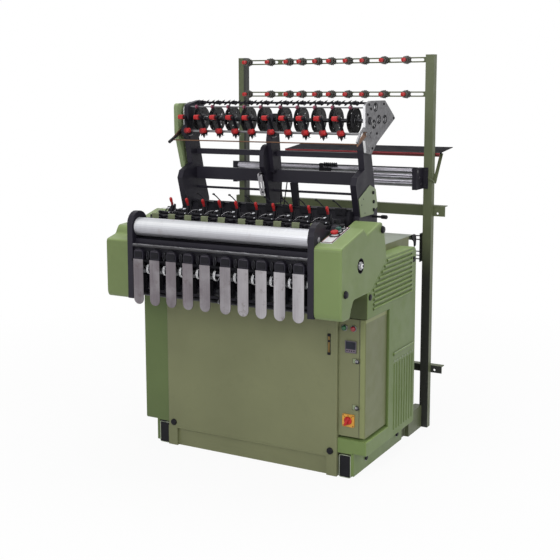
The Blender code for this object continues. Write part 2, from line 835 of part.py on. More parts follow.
def side_plate(side):
    """Black bearing plate at one end of the head, with a lobe round the front roller."""
    foot = HEAD_BOTTOM + LAP
    ledge = HEAD_EDGE_LOW[1] + LAP
    outline = [(HEAD_BOX_FRONT, foot), (PLATE_FRONT, foot)]
    outline += arc((ROLLER_Y + LOBE_STEP, ROLLER_Z + LOBE_STEP), LOBE_RADIUS, 175, 20)
    outline += [(-0.110, BED_TOP + 0.050)]
    outline += arc((-0.030, LEVER_SHAFT_Z - 0.028), 0.040, 150, 30, 5)
    outline += [(0.060, BED_TOP + 0.030), (PLATE_BACK, BED_TOP + 0.030)]
    outline += [(PLATE_BACK, ledge), (-LAP, SHOULDER_TOP + SEAT_GAP), (-LAP, foot)]
    plate = prism("x", outline, PLATE_INNER, PLATE_OUTER)
    left, right = PLATE_INNER - OVERRUN, PLATE_OUTER + OVERRUN
    holes = [
        rod("x", (ROLLER_Y, ROLLER_Z), JOURNAL_RADIUS + PIN_GAP, left, right, 20),
        rod("x", (PRESS_Y, PRESS_Z), PRESS_SHAFT_RADIUS + PIN_GAP, left, right, 16),
    ]
    if side > 0:
        holes.append(rod("x", (CRANK_Y, CRANK_Z), CRANK_RADIUS + PIN_GAP, left, right, 20))
    cut(plate, holes)
    return plate if side > 0 else mirrored(plate)


def head_box():
    """Black housing between the side plates, which carries the weaving bed."""
    bottom = SHOULDER_TOP + SEAT_GAP
    back = DECK_FRONT - SEAT_GAP
    return box(-BETWEEN_PLATES, BETWEEN_PLATES, HEAD_BOX_FRONT, back, bottom, HEAD_BOX_TOP)


def head_block(x):
    """One weaving head on the bed, low in the middle where the levers' shaft passes."""
    root = BED_TOP - LAP
    crest = BED_TOP + 0.065
    saddle = BED_TOP + 0.040
    rear = BED_TOP + 0.075
    profile = rounded(
        [
            (BLOCK_FRONT, root, 0),
            (BLOCK_FRONT, crest - 0.020, 0.010),
            (-0.060, crest, 0.010),
            (-0.030, saddle, 0.006),
            (0.050, saddle, 0.006),
            (0.090, rear, 0.010),
            (0.110, rear, 0),
            (HARNESS_FRONT + 0.010, root, 0),
        ],
        2,
    )
    return prism("x", profile, x - BLOCK_HALF_WIDTH, x + BLOCK_HALF_WIDTH)


def upright(x_bottom, x_top):
    """Thin round rod from the harness housing up to the middle beam."""
    rings = []
    for x, z in ((x_bottom, HARNESS_TOP - LAP), (x_top, MID_BEAM_BOTTOM - SEAT_GAP)):
        ring = [(a, b, z) for a, b in arc((x, STAY_ROD_Y), STAY_ROD_RADIUS, 0, 315, 7)]
        rings.append(ring)
    return loft(rings)


def weaving_bed():
    """Ten weaving heads and the harness housing behind them, on one bed, with the stays to the beam."""
    bottom = HEAD_BOX_TOP + SEAT_GAP
    outline = [
        (BED_FRONT, bottom),
        (HARNESS_BACK, bottom),
        (HARNESS_BACK, HARNESS_TOP),
        (HARNESS_FRONT + HARNESS_LEAN, HARNESS_TOP),
        (HARNESS_FRONT, BED_TOP),
        (BED_FRONT, BED_TOP),
    ]
    bed = prism("x", outline, -BETWEEN_PLATES, BETWEEN_PLATES)
    back = LEG_FRONT + LEG_DEPTH
    rings = []
    for (left, right), z in ((LEG_FOOT, HARNESS_TOP - LAP), (LEG_HEAD, MID_BEAM_BOTTOM - SEAT_GAP)):
        rings.append([(left, LEG_FRONT, z), (right, LEG_FRONT, z), (right, back, z), (left, back, z)])
    extras = [head_block(x) for x in head_xs()]
    extras += [upright(*ends) for ends in STAY_ROD_XS]
    extras.append(loft(rings))
    return combine(bed, extras)


def reed_blocks():
    """Small green block in front of each head, on a common bar."""
    start = BED_FRONT + LAP / 2
    bar_top = BED_TOP + 3 * LAP
    bar = box(-BETWEEN_PLATES, BETWEEN_PLATES, start, start + REED_BAR, BED_TOP + SEAT_GAP, bar_top)
    back = BLOCK_FRONT - SEAT_GAP
    bottom = bar_top - LAP
    half = REED_HALF_WIDTH
    blocks = [box(x - half, x + half, REED_FRONT, back, bottom, REED_TOP) for x in head_xs()]
    return combine(bar, blocks)


def clamp_levers():
    """Shaft along the heads with one red lever standing up at each."""
    centre = (LEVER_SHAFT_Y, LEVER_SHAFT_Z)
    shaft = rod("x", centre, LEVER_SHAFT_RADIUS, -BETWEEN_PLATES, BETWEEN_PLATES, 8)
    back = LEVER_Y + LEVER_DEPTH
    outline = rounded(
        [
            (LEVER_Y, LEVER_BOTTOM, 0),
            (back, LEVER_BOTTOM, 0),
            (back, LEVER_TOP - 0.012, 0.006),
            (back - 0.012, LEVER_TOP, 0.006),
            (LEVER_Y, LEVER_TOP - 0.008, 0.004),
        ],
        1,
    )
    levers = [prism("x", outline, x - LEVER_HALF_WIDTH, x + LEVER_HALF_WIDTH) for x in head_xs()]
    return combine(shaft, levers)


def front_beam():
    """Beam under the front roller, with the ten brackets that hold the guards."""
    back = BEAM_FRONT + BEAM_DEPTH
    top = FRONT_BEAM_BOTTOM + FRONT_BEAM_HEIGHT
    beam = box(-BETWEEN_PLATES, BETWEEN_PLATES, BEAM_FRONT, back, FRONT_BEAM_BOTTOM, top)
    web_front = BEAM_FRONT - WEB_REACH
    web_back = web_front + WEB_DEPTH
    web_top = FRONT_BEAM_BOTTOM + LAP
    web = box(-BETWEEN_PLATES, BETWEEN_PLATES, web_front, web_back, web_top - WEB_HEIGHT, web_top)
    brackets = []
    for x in head_xs():
        left, right = x - BRACKET_HALF_WIDTH, x + BRACKET_HALF_WIDTH
        foot = [(right, GUARD_TOP + SEAT_GAP, 0), (left, GUARD_TOP + SEAT_GAP, 0)]
        crown = [(left, BRACKET_TOP, BRACKET_ROUND), (right, BRACKET_TOP, BRACKET_ROUND)]
        brackets.append(prism("y", rounded(foot + crown, 3), GUARD_Y + GUARD_THICKNESS, web_front + LAP))
    return combine(beam, [web] + brackets)


def guard_plates():
    """Ten polished guards with round lower ends, on a flat bar behind their upper ends."""
    back = GUARD_Y + GUARD_THICKNESS
    bar_bottom = GUARD_TOP - GUARD_BAR_HEIGHT
    bar = box(-BETWEEN_PLATES, BETWEEN_PLATES, back - PIN_GAP, back + GUARD_BAR_DEPTH, bar_bottom, GUARD_TOP)
    plates = []
    radius = GUARD_WIDTH / 2
    for x in head_xs():
        outline = [(x + radius, GUARD_TOP), (x - radius, GUARD_TOP)]
        outline += arc((x, GUARD_BOTTOM + radius), radius, 180, 360)
        plates.append(prism("y", outline, GUARD_Y, back))
    return combine(bar, plates)


def press_rollers():
    """Shaft with a press roller behind each guard."""
    end = PLATE_OUTER - RUN_GAP
    profile = [(-end, PRESS_SHAFT_RADIUS)]
    half = PRESS_WIDTH / 2
    for x in head_xs():
        profile += [(x - half, PRESS_SHAFT_RADIUS), (x - half, PRESS_RADIUS)]
        profile += [(x + half, PRESS_RADIUS), (x + half, PRESS_SHAFT_RADIUS)]
    profile.append((end, PRESS_SHAFT_RADIUS))
    return turned("x", profile, (PRESS_Y, PRESS_Z), 8)


def front_roller():
    barrel = PLATE_INNER - RUN_GAP
    end = PLATE_OUTER - SEAT_GAP
    profile = [
        (-end, JOURNAL_RADIUS),
        (-barrel, JOURNAL_RADIUS),
        (-barrel, ROLLER_RADIUS),
        (barrel, ROLLER_RADIUS),
        (barrel, JOURNAL_RADIUS),
        (end, JOURNAL_RADIUS),
    ]
    return turned("x", profile, (ROLLER_Y, ROLLER_Z), 32)


def guide_rod():
    return rod("x", (GUIDE_ROD_Y, GUIDE_ROD_Z), GUIDE_ROD_RADIUS, -BETWEEN_PLATES, BETWEEN_PLATES, 12)


def crank_shaft():
    """End of the main shaft, in the round hole of the right head cover."""
    profile = [
        (PLATE_INNER + SEAT_GAP, CRANK_RADIUS),
        (CRANK_SHOULDER, CRANK_RADIUS),
        (CRANK_SHOULDER, CRANK_RADIUS - CRANK_NECK),
        (CRANK_END, CRANK_RADIUS - CRANK_NECK),
    ]
    return turned("x", profile, (CRANK_Y, CRANK_Z))


def sloped_disc(along, low, high, radius, segments=18):
    """Cylinder standing square on the sloping top of the head cover."""
    angle = slope_angle()
    rings = []
    for height in (low, high):
        y, z = slope_point(along, height)
        ring = []
        for i in range(segments):
            turn = 2 * math.pi * i / segments
            forward = radius * math.sin(turn)
            ring.append(
                (
                    PANEL_CENTRE_X + radius * math.cos(turn),
                    y + forward * math.cos(angle),
                    z + forward * math.sin(angle),
                )
            )
        rings.append(ring)
    return loft(rings)


def button_panel():
    """Plate on the right head cover with a bored boss for each push button."""
    corners = [
        slope_point(PANEL_START, PLATE_LIFT),
        slope_point(PANEL_END, PLATE_LIFT),
        slope_point(PANEL_END, PLATE_TOP),
        slope_point(PANEL_START, PLATE_TOP),
    ]
    plate = prism("x", corners, PANEL_CENTRE_X - PANEL_HALF_WIDTH, PANEL_CENTRE_X + PANEL_HALF_WIDTH)
    bosses = []
    bores = []
    for along in BUTTON_ALONGS:
        bosses.append(sloped_disc(along, PLATE_TOP / 2, BOSS_TOP, STEM_RADIUS + BOSS_WALL))
        bores.append(sloped_disc(along, -OVERRUN, BOSS_TOP + OVERRUN, STEM_RADIUS + PIN_GAP))
    combine(plate, bosses)
    return cut(plate, bores)


def push_button(along, radius):
    stem = sloped_disc(along, STEM_BOTTOM, CAP_BOTTOM + CAP_HEIGHT / 2, STEM_RADIUS)
    cap = sloped_disc(along, CAP_BOTTOM, CAP_BOTTOM + CAP_HEIGHT, radius)
    return combine(stem, [cap])


def stand_outline():
    """Side view of an end stand, (Y, Z), leaning forward over the heads."""
    foot = DECK_TOP + SEAT_GAP
    return [
        (0.175, foot),
        (0.190, HARNESS_TOP - 0.023),
        (0.146, MID_BEAM_BOTTOM + 0.013),
        (0.163, MID_BEAM_TOP - 0.012),
        (0.244, MID_BEAM_TOP + 0.020),
        (0.224, STAND_TOP - 0.050),
        (0.224, STAND_TOP),
        (0.306, STAND_TOP),
        (0.326, UPPER_BEAM_TOP - 0.012),
        (0.368, MID_BEAM_BOTTOM - 0.012),
        (0.401, HARNESS_TOP + 0.003),
        (0.405, foot),
    ]


def stand_end(side):
    plate = prism("x", stand_outline(), PLATE_INNER, PLATE_OUTER)
    return plate if side > 0 else mirrored(plate)


def beam_cutters(left, right):
    """Shapes of the three cross members, a little larger, to cut their passages."""
    front = BEAM_Y - BEAM_WIDTH / 2 - SEAT_GAP
    back = BEAM_Y + BEAM_WIDTH / 2 + SEAT_GAP
    return [
        box(left, right, front, back, MID_BEAM_BOTTOM - SEAT_GAP, MID_BEAM_TOP + SEAT_GAP),
        box(left, right, front, back, UPPER_BEAM_BOTTOM - SEAT_GAP, UPPER_BEAM_TOP + SEAT_GAP),
        rod("x", (BEAM_Y, TIE_ROD_Z), TIE_ROD_RADIUS + SEAT_GAP, left, right),
    ]


def stand_center():
    """Middle stand with a rounded top, and the neck beside it that carries the feeder shaft."""
    left = CENTRE_STAND_X - CENTRE_STAND_WIDTH / 2
    right = CENTRE_STAND_X + CENTRE_STAND_WIDTH / 2
    foot = HARNESS_TOP + SEAT_GAP
    crown = UPPER_BEAM_TOP + 0.033
    outline = rounded(
        [
            (0.263, foot, 0),
            (0.224, MID_BEAM_TOP - 0.024, 0),
            (0.192, MID_BEAM_TOP + 0.018, 0),
            (0.192, crown, 0.050),
            (0.330, crown, 0.020),
            (0.395, foot, 0),
        ]
    )
    plate = prism("x", outline, left, right)
    neck_foot = MID_BEAM_TOP - 0.013
    neck_outline = rounded(
        [
            (FEED_Y - 0.013, neck_foot, 0),
            (FEED_Y - 0.051, FEED_Z - 0.100, 0),
            (FEED_Y - 0.030, FEED_Z, 0),
            (FEED_Y - 0.022, FEED_Z + 0.030, 0.010),
            (FEED_Y + 0.022, FEED_Z + 0.030, 0.010),
            (FEED_Y + 0.030, FEED_Z, 0),
            (FEED_Y + 0.065, neck_foot, 0),
        ]
    )
    neck_right = right - LAP + NECK_WIDTH
    combine(plate, [prism("x", neck_outline, right - LAP, neck_right)])
    cutters = beam_cutters(left - OVERRUN, neck_right + OVERRUN)
    cutters.append(feed_bore(left - OVERRUN, neck_right + OVERRUN))
    return cut(plate, cutters)


def beams():
    """The two beams and the tie rod between the end stands."""
    front = BEAM_Y - BEAM_WIDTH / 2
    back = BEAM_Y + BEAM_WIDTH / 2
    for name, bottom, top in (
        ("mid_beam", MID_BEAM_BOTTOM, MID_BEAM_TOP),
        ("upper_beam", UPPER_BEAM_BOTTOM, UPPER_BEAM_TOP),
    ):
        finish(box(-BETWEEN_PLATES, BETWEEN_PLATES, front, back, bottom, top), name, black())
    tie_rod = rod("x", (BEAM_Y, TIE_ROD_Z), TIE_ROD_RADIUS, -BETWEEN_PLATES, BETWEEN_PLATES)
    finish(tie_rod, "tie_rod", black())


def stand_cover():
    """Green plate on the outer side of the right stand."""
    bottom = HARNESS_TOP - 0.028
    outline = [
        (0.199, bottom),
        (0.174, MID_BEAM_BOTTOM - 0.052),
        (0.303, MID_BEAM_BOTTOM + 0.004),
        (0.371, MID_BEAM_BOTTOM - 0.020),
        (0.396, HARNESS_TOP + 0.004),
        (0.350, HARNESS_TOP - 0.012),
        (0.350, bottom),
    ]
    inner = PLATE_OUTER + SEAT_GAP
    return prism("x", outline, inner, inner + STAND_COVER_WIDTH)


def feed_bore(left, right):
    return rod("x", (FEED_Y, FEED_Z), FEED_SHAFT_RADIUS + PIN_GAP, left, right, 20)


def tension_bore(left, right):
    return rod("x", (TENSION_Y, TENSION_Z), TENSION_RADIUS + PIN_GAP, left, right)


def tension_boss(face):
    """Nose on the front edge of a plate, round the tension bar."""
    return [
        (face, TENSION_Z - 0.031, 0),
        (TENSION_Y - BOSS_HALF, TENSION_Z - BOSS_HALF, 0.008),
        (TENSION_Y - BOSS_HALF, TENSION_Z + BOSS_HALF, 0.008),
        (face, TENSION_Z + 0.031, 0),
    ]


def feed_end_plate():
    """Cast plate with lightening holes at the right end of the feeder."""
    corners = [(FEED_Y - 0.040, FEED_Z - 0.150, 0.008)]
    corners += tension_boss(FEED_Y - 0.055)
    corners += [
        (FEED_Y - 0.057, FEED_Z + 0.073, 0.012),
        (FEED_Y + 0.001, FEED_Z + 0.093, 0.015),
        (FEED_Y + 0.180, FEED_Z + 0.093, 0.010),
        (FEED_Y + 0.313, FEED_Z + 0.005, 0.012),
        (FEED_Y + 0.092, FEED_Z - 0.104, 0.020),
        (FEED_Y + 0.020, FEED_Z - 0.158, 0.010),
    ]
    plate = prism("x", rounded(corners), END_PLATE_INNER, END_PLATE_OUTER)
    left, right = END_PLATE_INNER - OVERRUN, END_PLATE_OUTER + OVERRUN
    holes = [feed_bore(left, right), tension_bore(left, right)]
    for step_y, step_z in ((0.063, 0.063), (0.045, -0.017), (0.104, 0.004), (0.177, 0.002)):
        holes.append(rod("x", (FEED_Y + step_y, FEED_Z + step_z), BIG_HOLE_RADIUS, left, right, 16))
    for step_y, step_z in ((-0.011, -0.118), (-0.001, -0.138)):
        holes.append(rod("x", (FEED_Y + step_y, FEED_Z + step_z), SMALL_HOLE_RADIUS, left, right, 8))
    slot = band([(FEED_Y + 0.003, FEED_Z - 0.063), (FEED_Y + 0.019, FEED_Z - 0.051)], BOSS_HALF)
    holes.append(prism("x", slot, left, right))
    return cut(plate, holes)


def feed_gearbox():
    """Gearbox on the left stand that drives the feeder shaft."""
    face = FEED_Y - 0.061
    bottom = STAND_TOP - 0.015
    corners = [(face, bottom, 0)]
    corners += tension_boss(face)[1:]
    corners += [
        (face, FEED_Z + 0.075, 0.030),
        (FEED_Y + 0.070, FEED_Z + 0.095, 0.020),
        (FEED_Y + 0.105, FEED_Z + 0.040, 0.020),
        (FEED_Y + 0.075, FEED_Z - 0.060, 0.020),
        (FEED_Y + 0.035, bottom, 0.010),
    ]
    body = prism("x", rounded(corners), -PLATE_OUTER, -GEARBOX_INNER)
    stand_room = prism("x", stand_outline(), -PLATE_OUTER - OVERRUN, -PLATE_INNER + OVERRUN)
    bearing = -GEARBOX_INNER - GEARBOX_BEARING - SEAT_GAP
    shaft_room = feed_bore(bearing, -GEARBOX_INNER + OVERRUN)
    bar_room = tension_bore(-PLATE_OUTER - OVERRUN, -GEARBOX_INNER + OVERRUN)
    return cut(body, [shaft_room, stand_room, bar_room])


def gearbox_cover():
    """Green cover beside the left stand, on a spacer that leaves room for the bail's arm."""
    outline = rounded(
        [
            (FEED_Y - 0.091, FEED_Z + 0.085, 0.020),
            (FEED_Y + 0.075, FEED_Z + 0.085, 0.030),
            (FEED_Y + 0.055, FEED_Z - 0.100, 0),
            (FEED_Y + 0.045, FEED_Z - 0.255, 0.010),
            (FEED_Y - 0.030, FEED_Z - 0.255, 0.010),
            (FEED_Y - 0.089, FEED_Z - 0.071, 0),
        ]
    )
    cover = prism("x", outline, GEAR_COVER_INNER - GEAR_COVER_WIDTH, GEAR_COVER_INNER)
    seat = -PLATE_OUTER - SEAT_GAP
    spacer = box(
        GEAR_COVER_INNER - LAP,
        seat,
        FEED_Y - 0.015,
        FEED_Y + 0.035,
        FEED_Z - 0.200,
        FEED_Z + 0.050,
    )
    return combine(cover, [spacer])


def weft_feed_shaft():
    """Shaft with ten pairs of thin feed wheels, each pair on a hub."""
    profile = [(-GEARBOX_INNER - GEARBOX_BEARING, FEED_SHAFT_RADIUS)]
    half = WHEEL_SPLIT / 2
    for x in head_xs():
        for wheel_x in (x - half, x + half):
            start = wheel_x - WHEEL_THICKNESS / 2
            end = wheel_x + WHEEL_THICKNESS / 2
            before = FEED_SHAFT_RADIUS if wheel_x < x else HUB_RADIUS
            after = HUB_RADIUS if wheel_x < x else FEED_SHAFT_RADIUS
            profile += [(start, before), (start, WHEEL_RADIUS), (end, WHEEL_RADIUS), (end, after)]
    profile.append((END_PLATE_OUTER - SEAT_GAP, FEED_SHAFT_RADIUS))
    return turned("x", profile, (FEED_Y, FEED_Z), 14)


def beaded_rod(centre, radius, bead_radius, bead_width):
    """Thin rod with a ring at each head, from the gearbox to the end plate."""
    profile = [(-GEARBOX_INNER + SEAT_GAP, radius)]
    half = bead_width / 2
    for x in head_xs():
        profile += [(x - half, radius), (x - half, bead_radius), (x + half, bead_radius), (x + half, radius)]
    profile.append((PLATE_OUTER, radius))
    return turned("x", profile, centre, 6)


def tension_fork(x):
    """Bracket on the tension bar with a cone-shaped yarn tensioner below and above."""
    tip_front, tip_back = UPPER_CONE_Y + 0.010, UPPER_CONE_Y + 0.022
    outline = [
        (TENSION_Y + 0.010, TENSION_Z - 0.010),
        (TENSION_Y - 0.012, TENSION_Z - 0.030),
        (TENSION_Y - 0.022, TENSION_Z - 0.006),
        (tip_front, UPPER_CONE_Z - 0.008),
        (tip_front, UPPER_CONE_Z + 0.008),
        (tip_back, UPPER_CONE_Z + 0.008),
        (TENSION_Y + 0.010, TENSION_Z + 0.010),
    ]
    fork = prism("x", outline, x + FORK_X, x + FORK_X + FORK_THICKNESS)
    half = CONE_RADIUS / 2
    lower = [(TENSION_Y - 0.030, CONE_RADIUS), (TENSION_Y - 0.014, half), (TENSION_Y, TENSION_RADIUS)]
    upper = [(UPPER_CONE_Y - 0.012, CONE_RADIUS * 0.8), (UPPER_CONE_Y + 0.016, half)]
    lower_cone = turned("y", lower, (x + CONE_X, TENSION_Z), 6)
    upper_cone = turned("y", upper, (x + FORK_X + FORK_THICKNESS / 2, UPPER_CONE_Z), 6)
    return [fork, lower_cone, upper_cone]


def tension_bar():
    """Rod with a bracket and two yarn tensioners at each head."""
    right = BAIL_RIGHT + LAP
    bar = rod("x", (TENSION_Y, TENSION_Z), TENSION_RADIUS, GEAR_COVER_INNER + SEAT_GAP, right, 8)
    extras = []
    for x in head_xs():
        extras += tension_fork(x)
    return combine(bar, extras)


def stop_bail():
    """Thin bar in front of the yarns on two arms, which stops the loom when it drops."""
    wire = rod("x", (BAIL_Y, BAIL_Z), BAIL_RADIUS, BAIL_LEFT, BAIL_RIGHT, 8)
    front = BAIL_Y - 0.008
    outline = [(front, BAIL_Z - 0.010), (front, BAIL_Z + 0.006)]
    outline += arc((TENSION_Y, TENSION_Z), BOSS_HALF, 120, -60)
    arms = [prism("x", outline, start, start + BAIL_ARM) for start in (BAIL_LEFT, BAIL_RIGHT - BAIL_ARM)]
    combine(wire, arms)
    return cut(wire, [tension_bore(BAIL_LEFT - OVERRUN, BAIL_RIGHT + OVERRUN)])


def rear_post(left_x, machine_side):
    """Upright of the yarn frame, with the floor link that ties it to the machine."""
    right_x = left_x + POST_WIDTH
    post = box(left_x, right_x, POST_Y, POST_BACK, 0, POST_TOP)
    inner = left_x - LINK_REACH if machine_side > 0 else right_x - LINK_LAP
    outer = left_x + LINK_LAP if machine_side > 0 else right_x + LINK_REACH
    link = box(inner, outer, BODY_BACK + SEAT_GAP, POST_Y + LINK_LAP, 0, FOOT_LINK_TOP)
    return combine(post, [link])


def yarn_bar(z):
    """Slotted flat bar between the posts with ten yarn tensioners."""
    left = POST_LEFT_X + POST_WIDTH + SEAT_GAP
    right = POST_RIGHT_X - SEAT_GAP
    front = POST_Y + YARN_BAR_INSET
    back = front + YARN_BAR_THICKNESS
    bar = box(left, right, front, back, z - YARN_BAR_HEIGHT / 2, z + YARN_BAR_HEIGHT / 2)
    low, high = z - YARN_SLOT_HEIGHT / 2, z + YARN_SLOT_HEIGHT / 2
    step = (right - left) / YARN_SLOT_COUNT
    slots = []
    for k in range(YARN_SLOT_COUNT):
        start = left + step * k + YARN_SLOT_MARGIN
        end = left + step * (k + 1) - YARN_SLOT_MARGIN
        slots.append(box(start, end, front - OVERRUN, back + OVERRUN, low, high))
    cut(bar, slots)
    profile = [
        (front - TENSIONER_REACH, TENSIONER_RADIUS * 0.6),
        (front - TENSIONER_REACH * 0.6, TENSIONER_RADIUS),
        (front - LAP * 3, TENSIONER_RADIUS * 0.8),
        (front - LAP, YARN_SLOT_HEIGHT * 0.7),
        (back + LAP, YARN_SLOT_HEIGHT * 0.7),
    ]
    xs = [x + step for x, step in zip(head_xs(), TENSIONER_STEPS)]
    return combine(bar, [turned("y", profile, (x, z), 6) for x in xs])


def angle_bar(top, height):
    """Angle across the back of both posts, drilled near its right end."""
    front = POST_BACK + SEAT_GAP
    wall = front + ANGLE_WALL
    back = front + ANGLE_DEPTH
    bottom = top - height
    outline = [(front, bottom), (wall, bottom), (wall, top - ANGLE_WALL), (back, top - ANGLE_WALL)]
    outline += [(back, top), (front, top)]
    bar = prism("x", outline, ANGLE_LEFT, ANGLE_RIGHT)
    place = (ANGLE_HOLE_X, bottom + ANGLE_HOLE_RISE)
    return cut(bar, [rod("y", place, ANGLE_HOLE_RADIUS, front - OVERRUN, wall + OVERRUN)])


def lease_frame():
    """Thin rods between two flat plates on the inner sides of the posts, which keep the yarns apart."""
    left = POST_LEFT_X + POST_WIDTH + SEAT_GAP
    right = POST_RIGHT_X - SEAT_GAP
    front = LEASE_Y - LEASE_MARGIN
    back = POST_BACK - LEASE_MARGIN
    bottom = LEASE_ZS[0] - LEASE_MARGIN
    top = LEASE_ZS[-1] + LEASE_MARGIN
    frame = box(left, left + LEASE_PLATE, front, back, bottom, top)
    others = [box(right - LEASE_PLATE, right, front, back, bottom, top)]
    half = LEASE_PLATE / 2
    others += [rod("x", (LEASE_Y, z), LEASE_RADIUS, left + half, right - half, 8) for z in LEASE_ZS]
    return combine(frame, others)


def pack_centres():
    return [(PACK_Y + PACK_STEP_Y * (k - 1), PACK_Z - PACK_STEP_Z * (k - 1)) for k in range(3)]


def roller_block(face, side):
    """Bearing block at one end of the rear roller pack, with a flange on the post's front."""
    back = POST_Y - SEAT_GAP
    outer = face + side * PACK_BLOCK
    reach = face + side * PACK_FLANGE_REACH
    flange_front = back - PACK_FLANGE_DEPTH
    block = box(*sorted((face, outer)), PACK_BLOCK_FRONT, back, PACK_BLOCK_BOTTOM, PACK_BLOCK_TOP)
    flange = box(*sorted((outer - side * LAP, reach)), flange_front, back, PACK_BLOCK_BOTTOM, PACK_BLOCK_TOP)
    combine(block, [flange])
    start, end = sorted((face - side * OVERRUN, outer + side * OVERRUN))
    radius = PACK_JOURNAL + PIN_GAP
    return cut(block, [rod("x", centre, radius, start, end, 16) for centre in pack_centres()])


def pack_roller(centre):
    barrel_left, barrel_right = PACK_LEFT + RUN_GAP, PACK_RIGHT - RUN_GAP
    profile = [
        (PACK_LEFT - PACK_BLOCK, PACK_JOURNAL),
        (barrel_left, PACK_JOURNAL),
        (barrel_left, PACK_RADIUS),
        (barrel_right, PACK_RADIUS),
        (barrel_right, PACK_JOURNAL),
        (PACK_RIGHT + PACK_BLOCK, PACK_JOURNAL),
    ]
    return turned("x", profile, centre, 16)


def tray_height(y):
    """Height of the tray's upper face."""
    return TRAY_FRONT_Z + (TRAY_BACK_Z - TRAY_FRONT_Z) * (y - TRAY_FRONT) / (TRAY_BACK - TRAY_FRONT)


def tray():
    """Shallow sheet tray behind the posts with a strut and a bent stay to the right post."""
    lip = TRAY_FRONT + TRAY_WALL
    outline = [
        (TRAY_FRONT, TRAY_FRONT_Z - TRAY_LIP),
        (lip, TRAY_FRONT_Z - TRAY_LIP),
        (lip, TRAY_FRONT_Z - TRAY_WALL),
        (TRAY_BACK, TRAY_BACK_Z - TRAY_WALL),
        (TRAY_BACK, TRAY_BACK_Z),
        (TRAY_FRONT, TRAY_FRONT_Z),
    ]
    sheet = prism("x", outline, TRAY_LEFT, TRAY_RIGHT)
    stay_top = TRAY_FRONT + 0.063
    stay_left = POST_RIGHT_X + POST_WIDTH + SEAT_GAP
    path = [
        (PACK_Y, PACK_Z + 0.005),
        (POST_BACK - 0.019, PACK_Z - 0.022),
        (stay_top, tray_height(stay_top) - TRAY_WALL * 1.7),
    ]
    stay = prism("x", band(path, STAY_WIDTH), stay_left, stay_left + STAY_THICKNESS)
    back = POST_BACK + SEAT_GAP
    strut_outline = [
        (back, STRUT_BOTTOM),
        (back + 0.010, STRUT_BOTTOM),
        (TRAY_FRONT + 0.030, TRAY_FRONT_Z),
        (TRAY_FRONT + 0.010, TRAY_FRONT_Z),
        (back, STRUT_BOTTOM + 0.020),
    ]
    strut = prism("x", strut_outline, POST_RIGHT_X, POST_RIGHT_X + STAY_THICKNESS)
    return combine(sheet, [stay, strut])


def build_base():
    for side, word in ((-1, "left"), (1, "right")):
        finish(skid(side), f"skid_{word}", green())
        finish(side_cover(side), f"side_cover_{word}", green())
        finish(head_cover(side), f"head_cover_{word}", green())
        finish(side_plate(side), f"side_plate_{word}", black())
        finish(stand_end(side), f"stand_{word}", black())
    finish(plinth(), "plinth", green())
    finish(front_panel(), "front_panel", green())
    finish(cabinet(), "cabinet", olive())


def build_control_box():
    finish(control_box(), "control_box", green())
    finish(control_box_door(), "control_box_door", green(), (BOX_RIGHT, BOX_BACK, BOX_BOTTOM))
    finish(isolator_plate(), "isolator_plate", material("yellow_plastic", (0.85, 0.50, 0.03), 0.4))
    knob_face = BOX_FRONT - SEAT_GAP - ISOLATOR_DEPTH
    finish(isolator_knob(), "isolator_knob", red(), (ISOLATOR_X, knob_face, ISOLATOR_Z))


def build_head():
    finish(head_box(), "head_box", black())
    finish(weaving_bed(), "weaving_bed", black())
    finish(reed_blocks(), "reed_blocks", olive())
    finish(clamp_levers(), "clamp_levers", red())
    finish(front_beam(), "front_beam", black())
    finish(guide_rod(), "guide_rod", steel())
    finish(guard_plates(), "guard_plates", steel())
    finish(press_rollers(), "press_rollers", steel(), (0, PRESS_Y, PRESS_Z))
    finish(front_roller(), "front_roller", steel(), (0, ROLLER_Y, ROLLER_Z))
    finish(crank_shaft(), "crank_shaft", steel(), (PLATE_OUTER, CRANK_Y, CRANK_Z))
    finish(button_panel(), "button_panel", material("white_plastic", (0.8, 0.8, 0.78), 0.4))
    paints = (red(), material("green_plastic", (0.03, 0.22, 0.18), 0.35), black())
    names = ("stop_button", "start_button", "jog_button")
    for name, along, radius, paint in zip(names, BUTTON_ALONGS, BUTTON_RADII, paints):
        y, z = slope_point(along, CAP_BOTTOM)
        finish(push_button(along, radius), name, paint, (PANEL_CENTRE_X, y, z))


def build_feeder():
    finish(stand_center(), "stand_center", black())
    beams()
    finish(stand_cover(), "stand_cover", green())
    finish(feed_end_plate(), "feed_end_plate", cast_grey())
    finish(feed_gearbox(), "feed_gearbox", black())
    finish(gearbox_cover(), "gearbox_cover", green())
    finish(weft_feed_shaft(), "weft_feed_shaft", black(), (0, FEED_Y, FEED_Z))
    finish(beaded_rod((RING_ROD_Y, RING_ROD_Z), 0.004, 0.008, 0.006), "ring_rod", steel())
    finish(beaded_rod((TOP_ROD_Y, TOP_ROD_Z), 0.006, 0.010, 0.010), "top_rod", black())
    finish(tension_bar(), "tension_bar", steel())
    finish(stop_bail(), "stop_bail", steel(), (0, TENSION_Y, TENSION_Z))


def build_rear_frame():
    finish(rear_post(POST_RIGHT_X, 1), "rear_post_right", olive())
    finish(rear_post(POST_LEFT_X, -1), "rear_post_left", olive())
    for z, word in zip(YARN_BAR_ZS, ("upper", "lower")):
        finish(yarn_bar(z), f"yarn_bar_{word}", olive())
    finish(angle_bar(ANGLE_TOP, ANGLE_HEIGHT), "angle_bar", olive())
    finish(angle_bar(LOW_ANGLE_TOP, LOW_ANGLE_HEIGHT), "angle_bar_lower", olive())
    finish(lease_frame(), "lease_frame", steel())
    finish(roller_block(PACK_LEFT, -1), "roller_block_left", black())
    finish(roller_block(PACK_RIGHT, 1), "roller_block_right", black())
    for k, centre in enumerate(pack_centres()):
        finish(pack_roller(centre), f"pack_roller_{k + 1}", steel(), (0, *centre))
    finish(tray(), "tray", black())


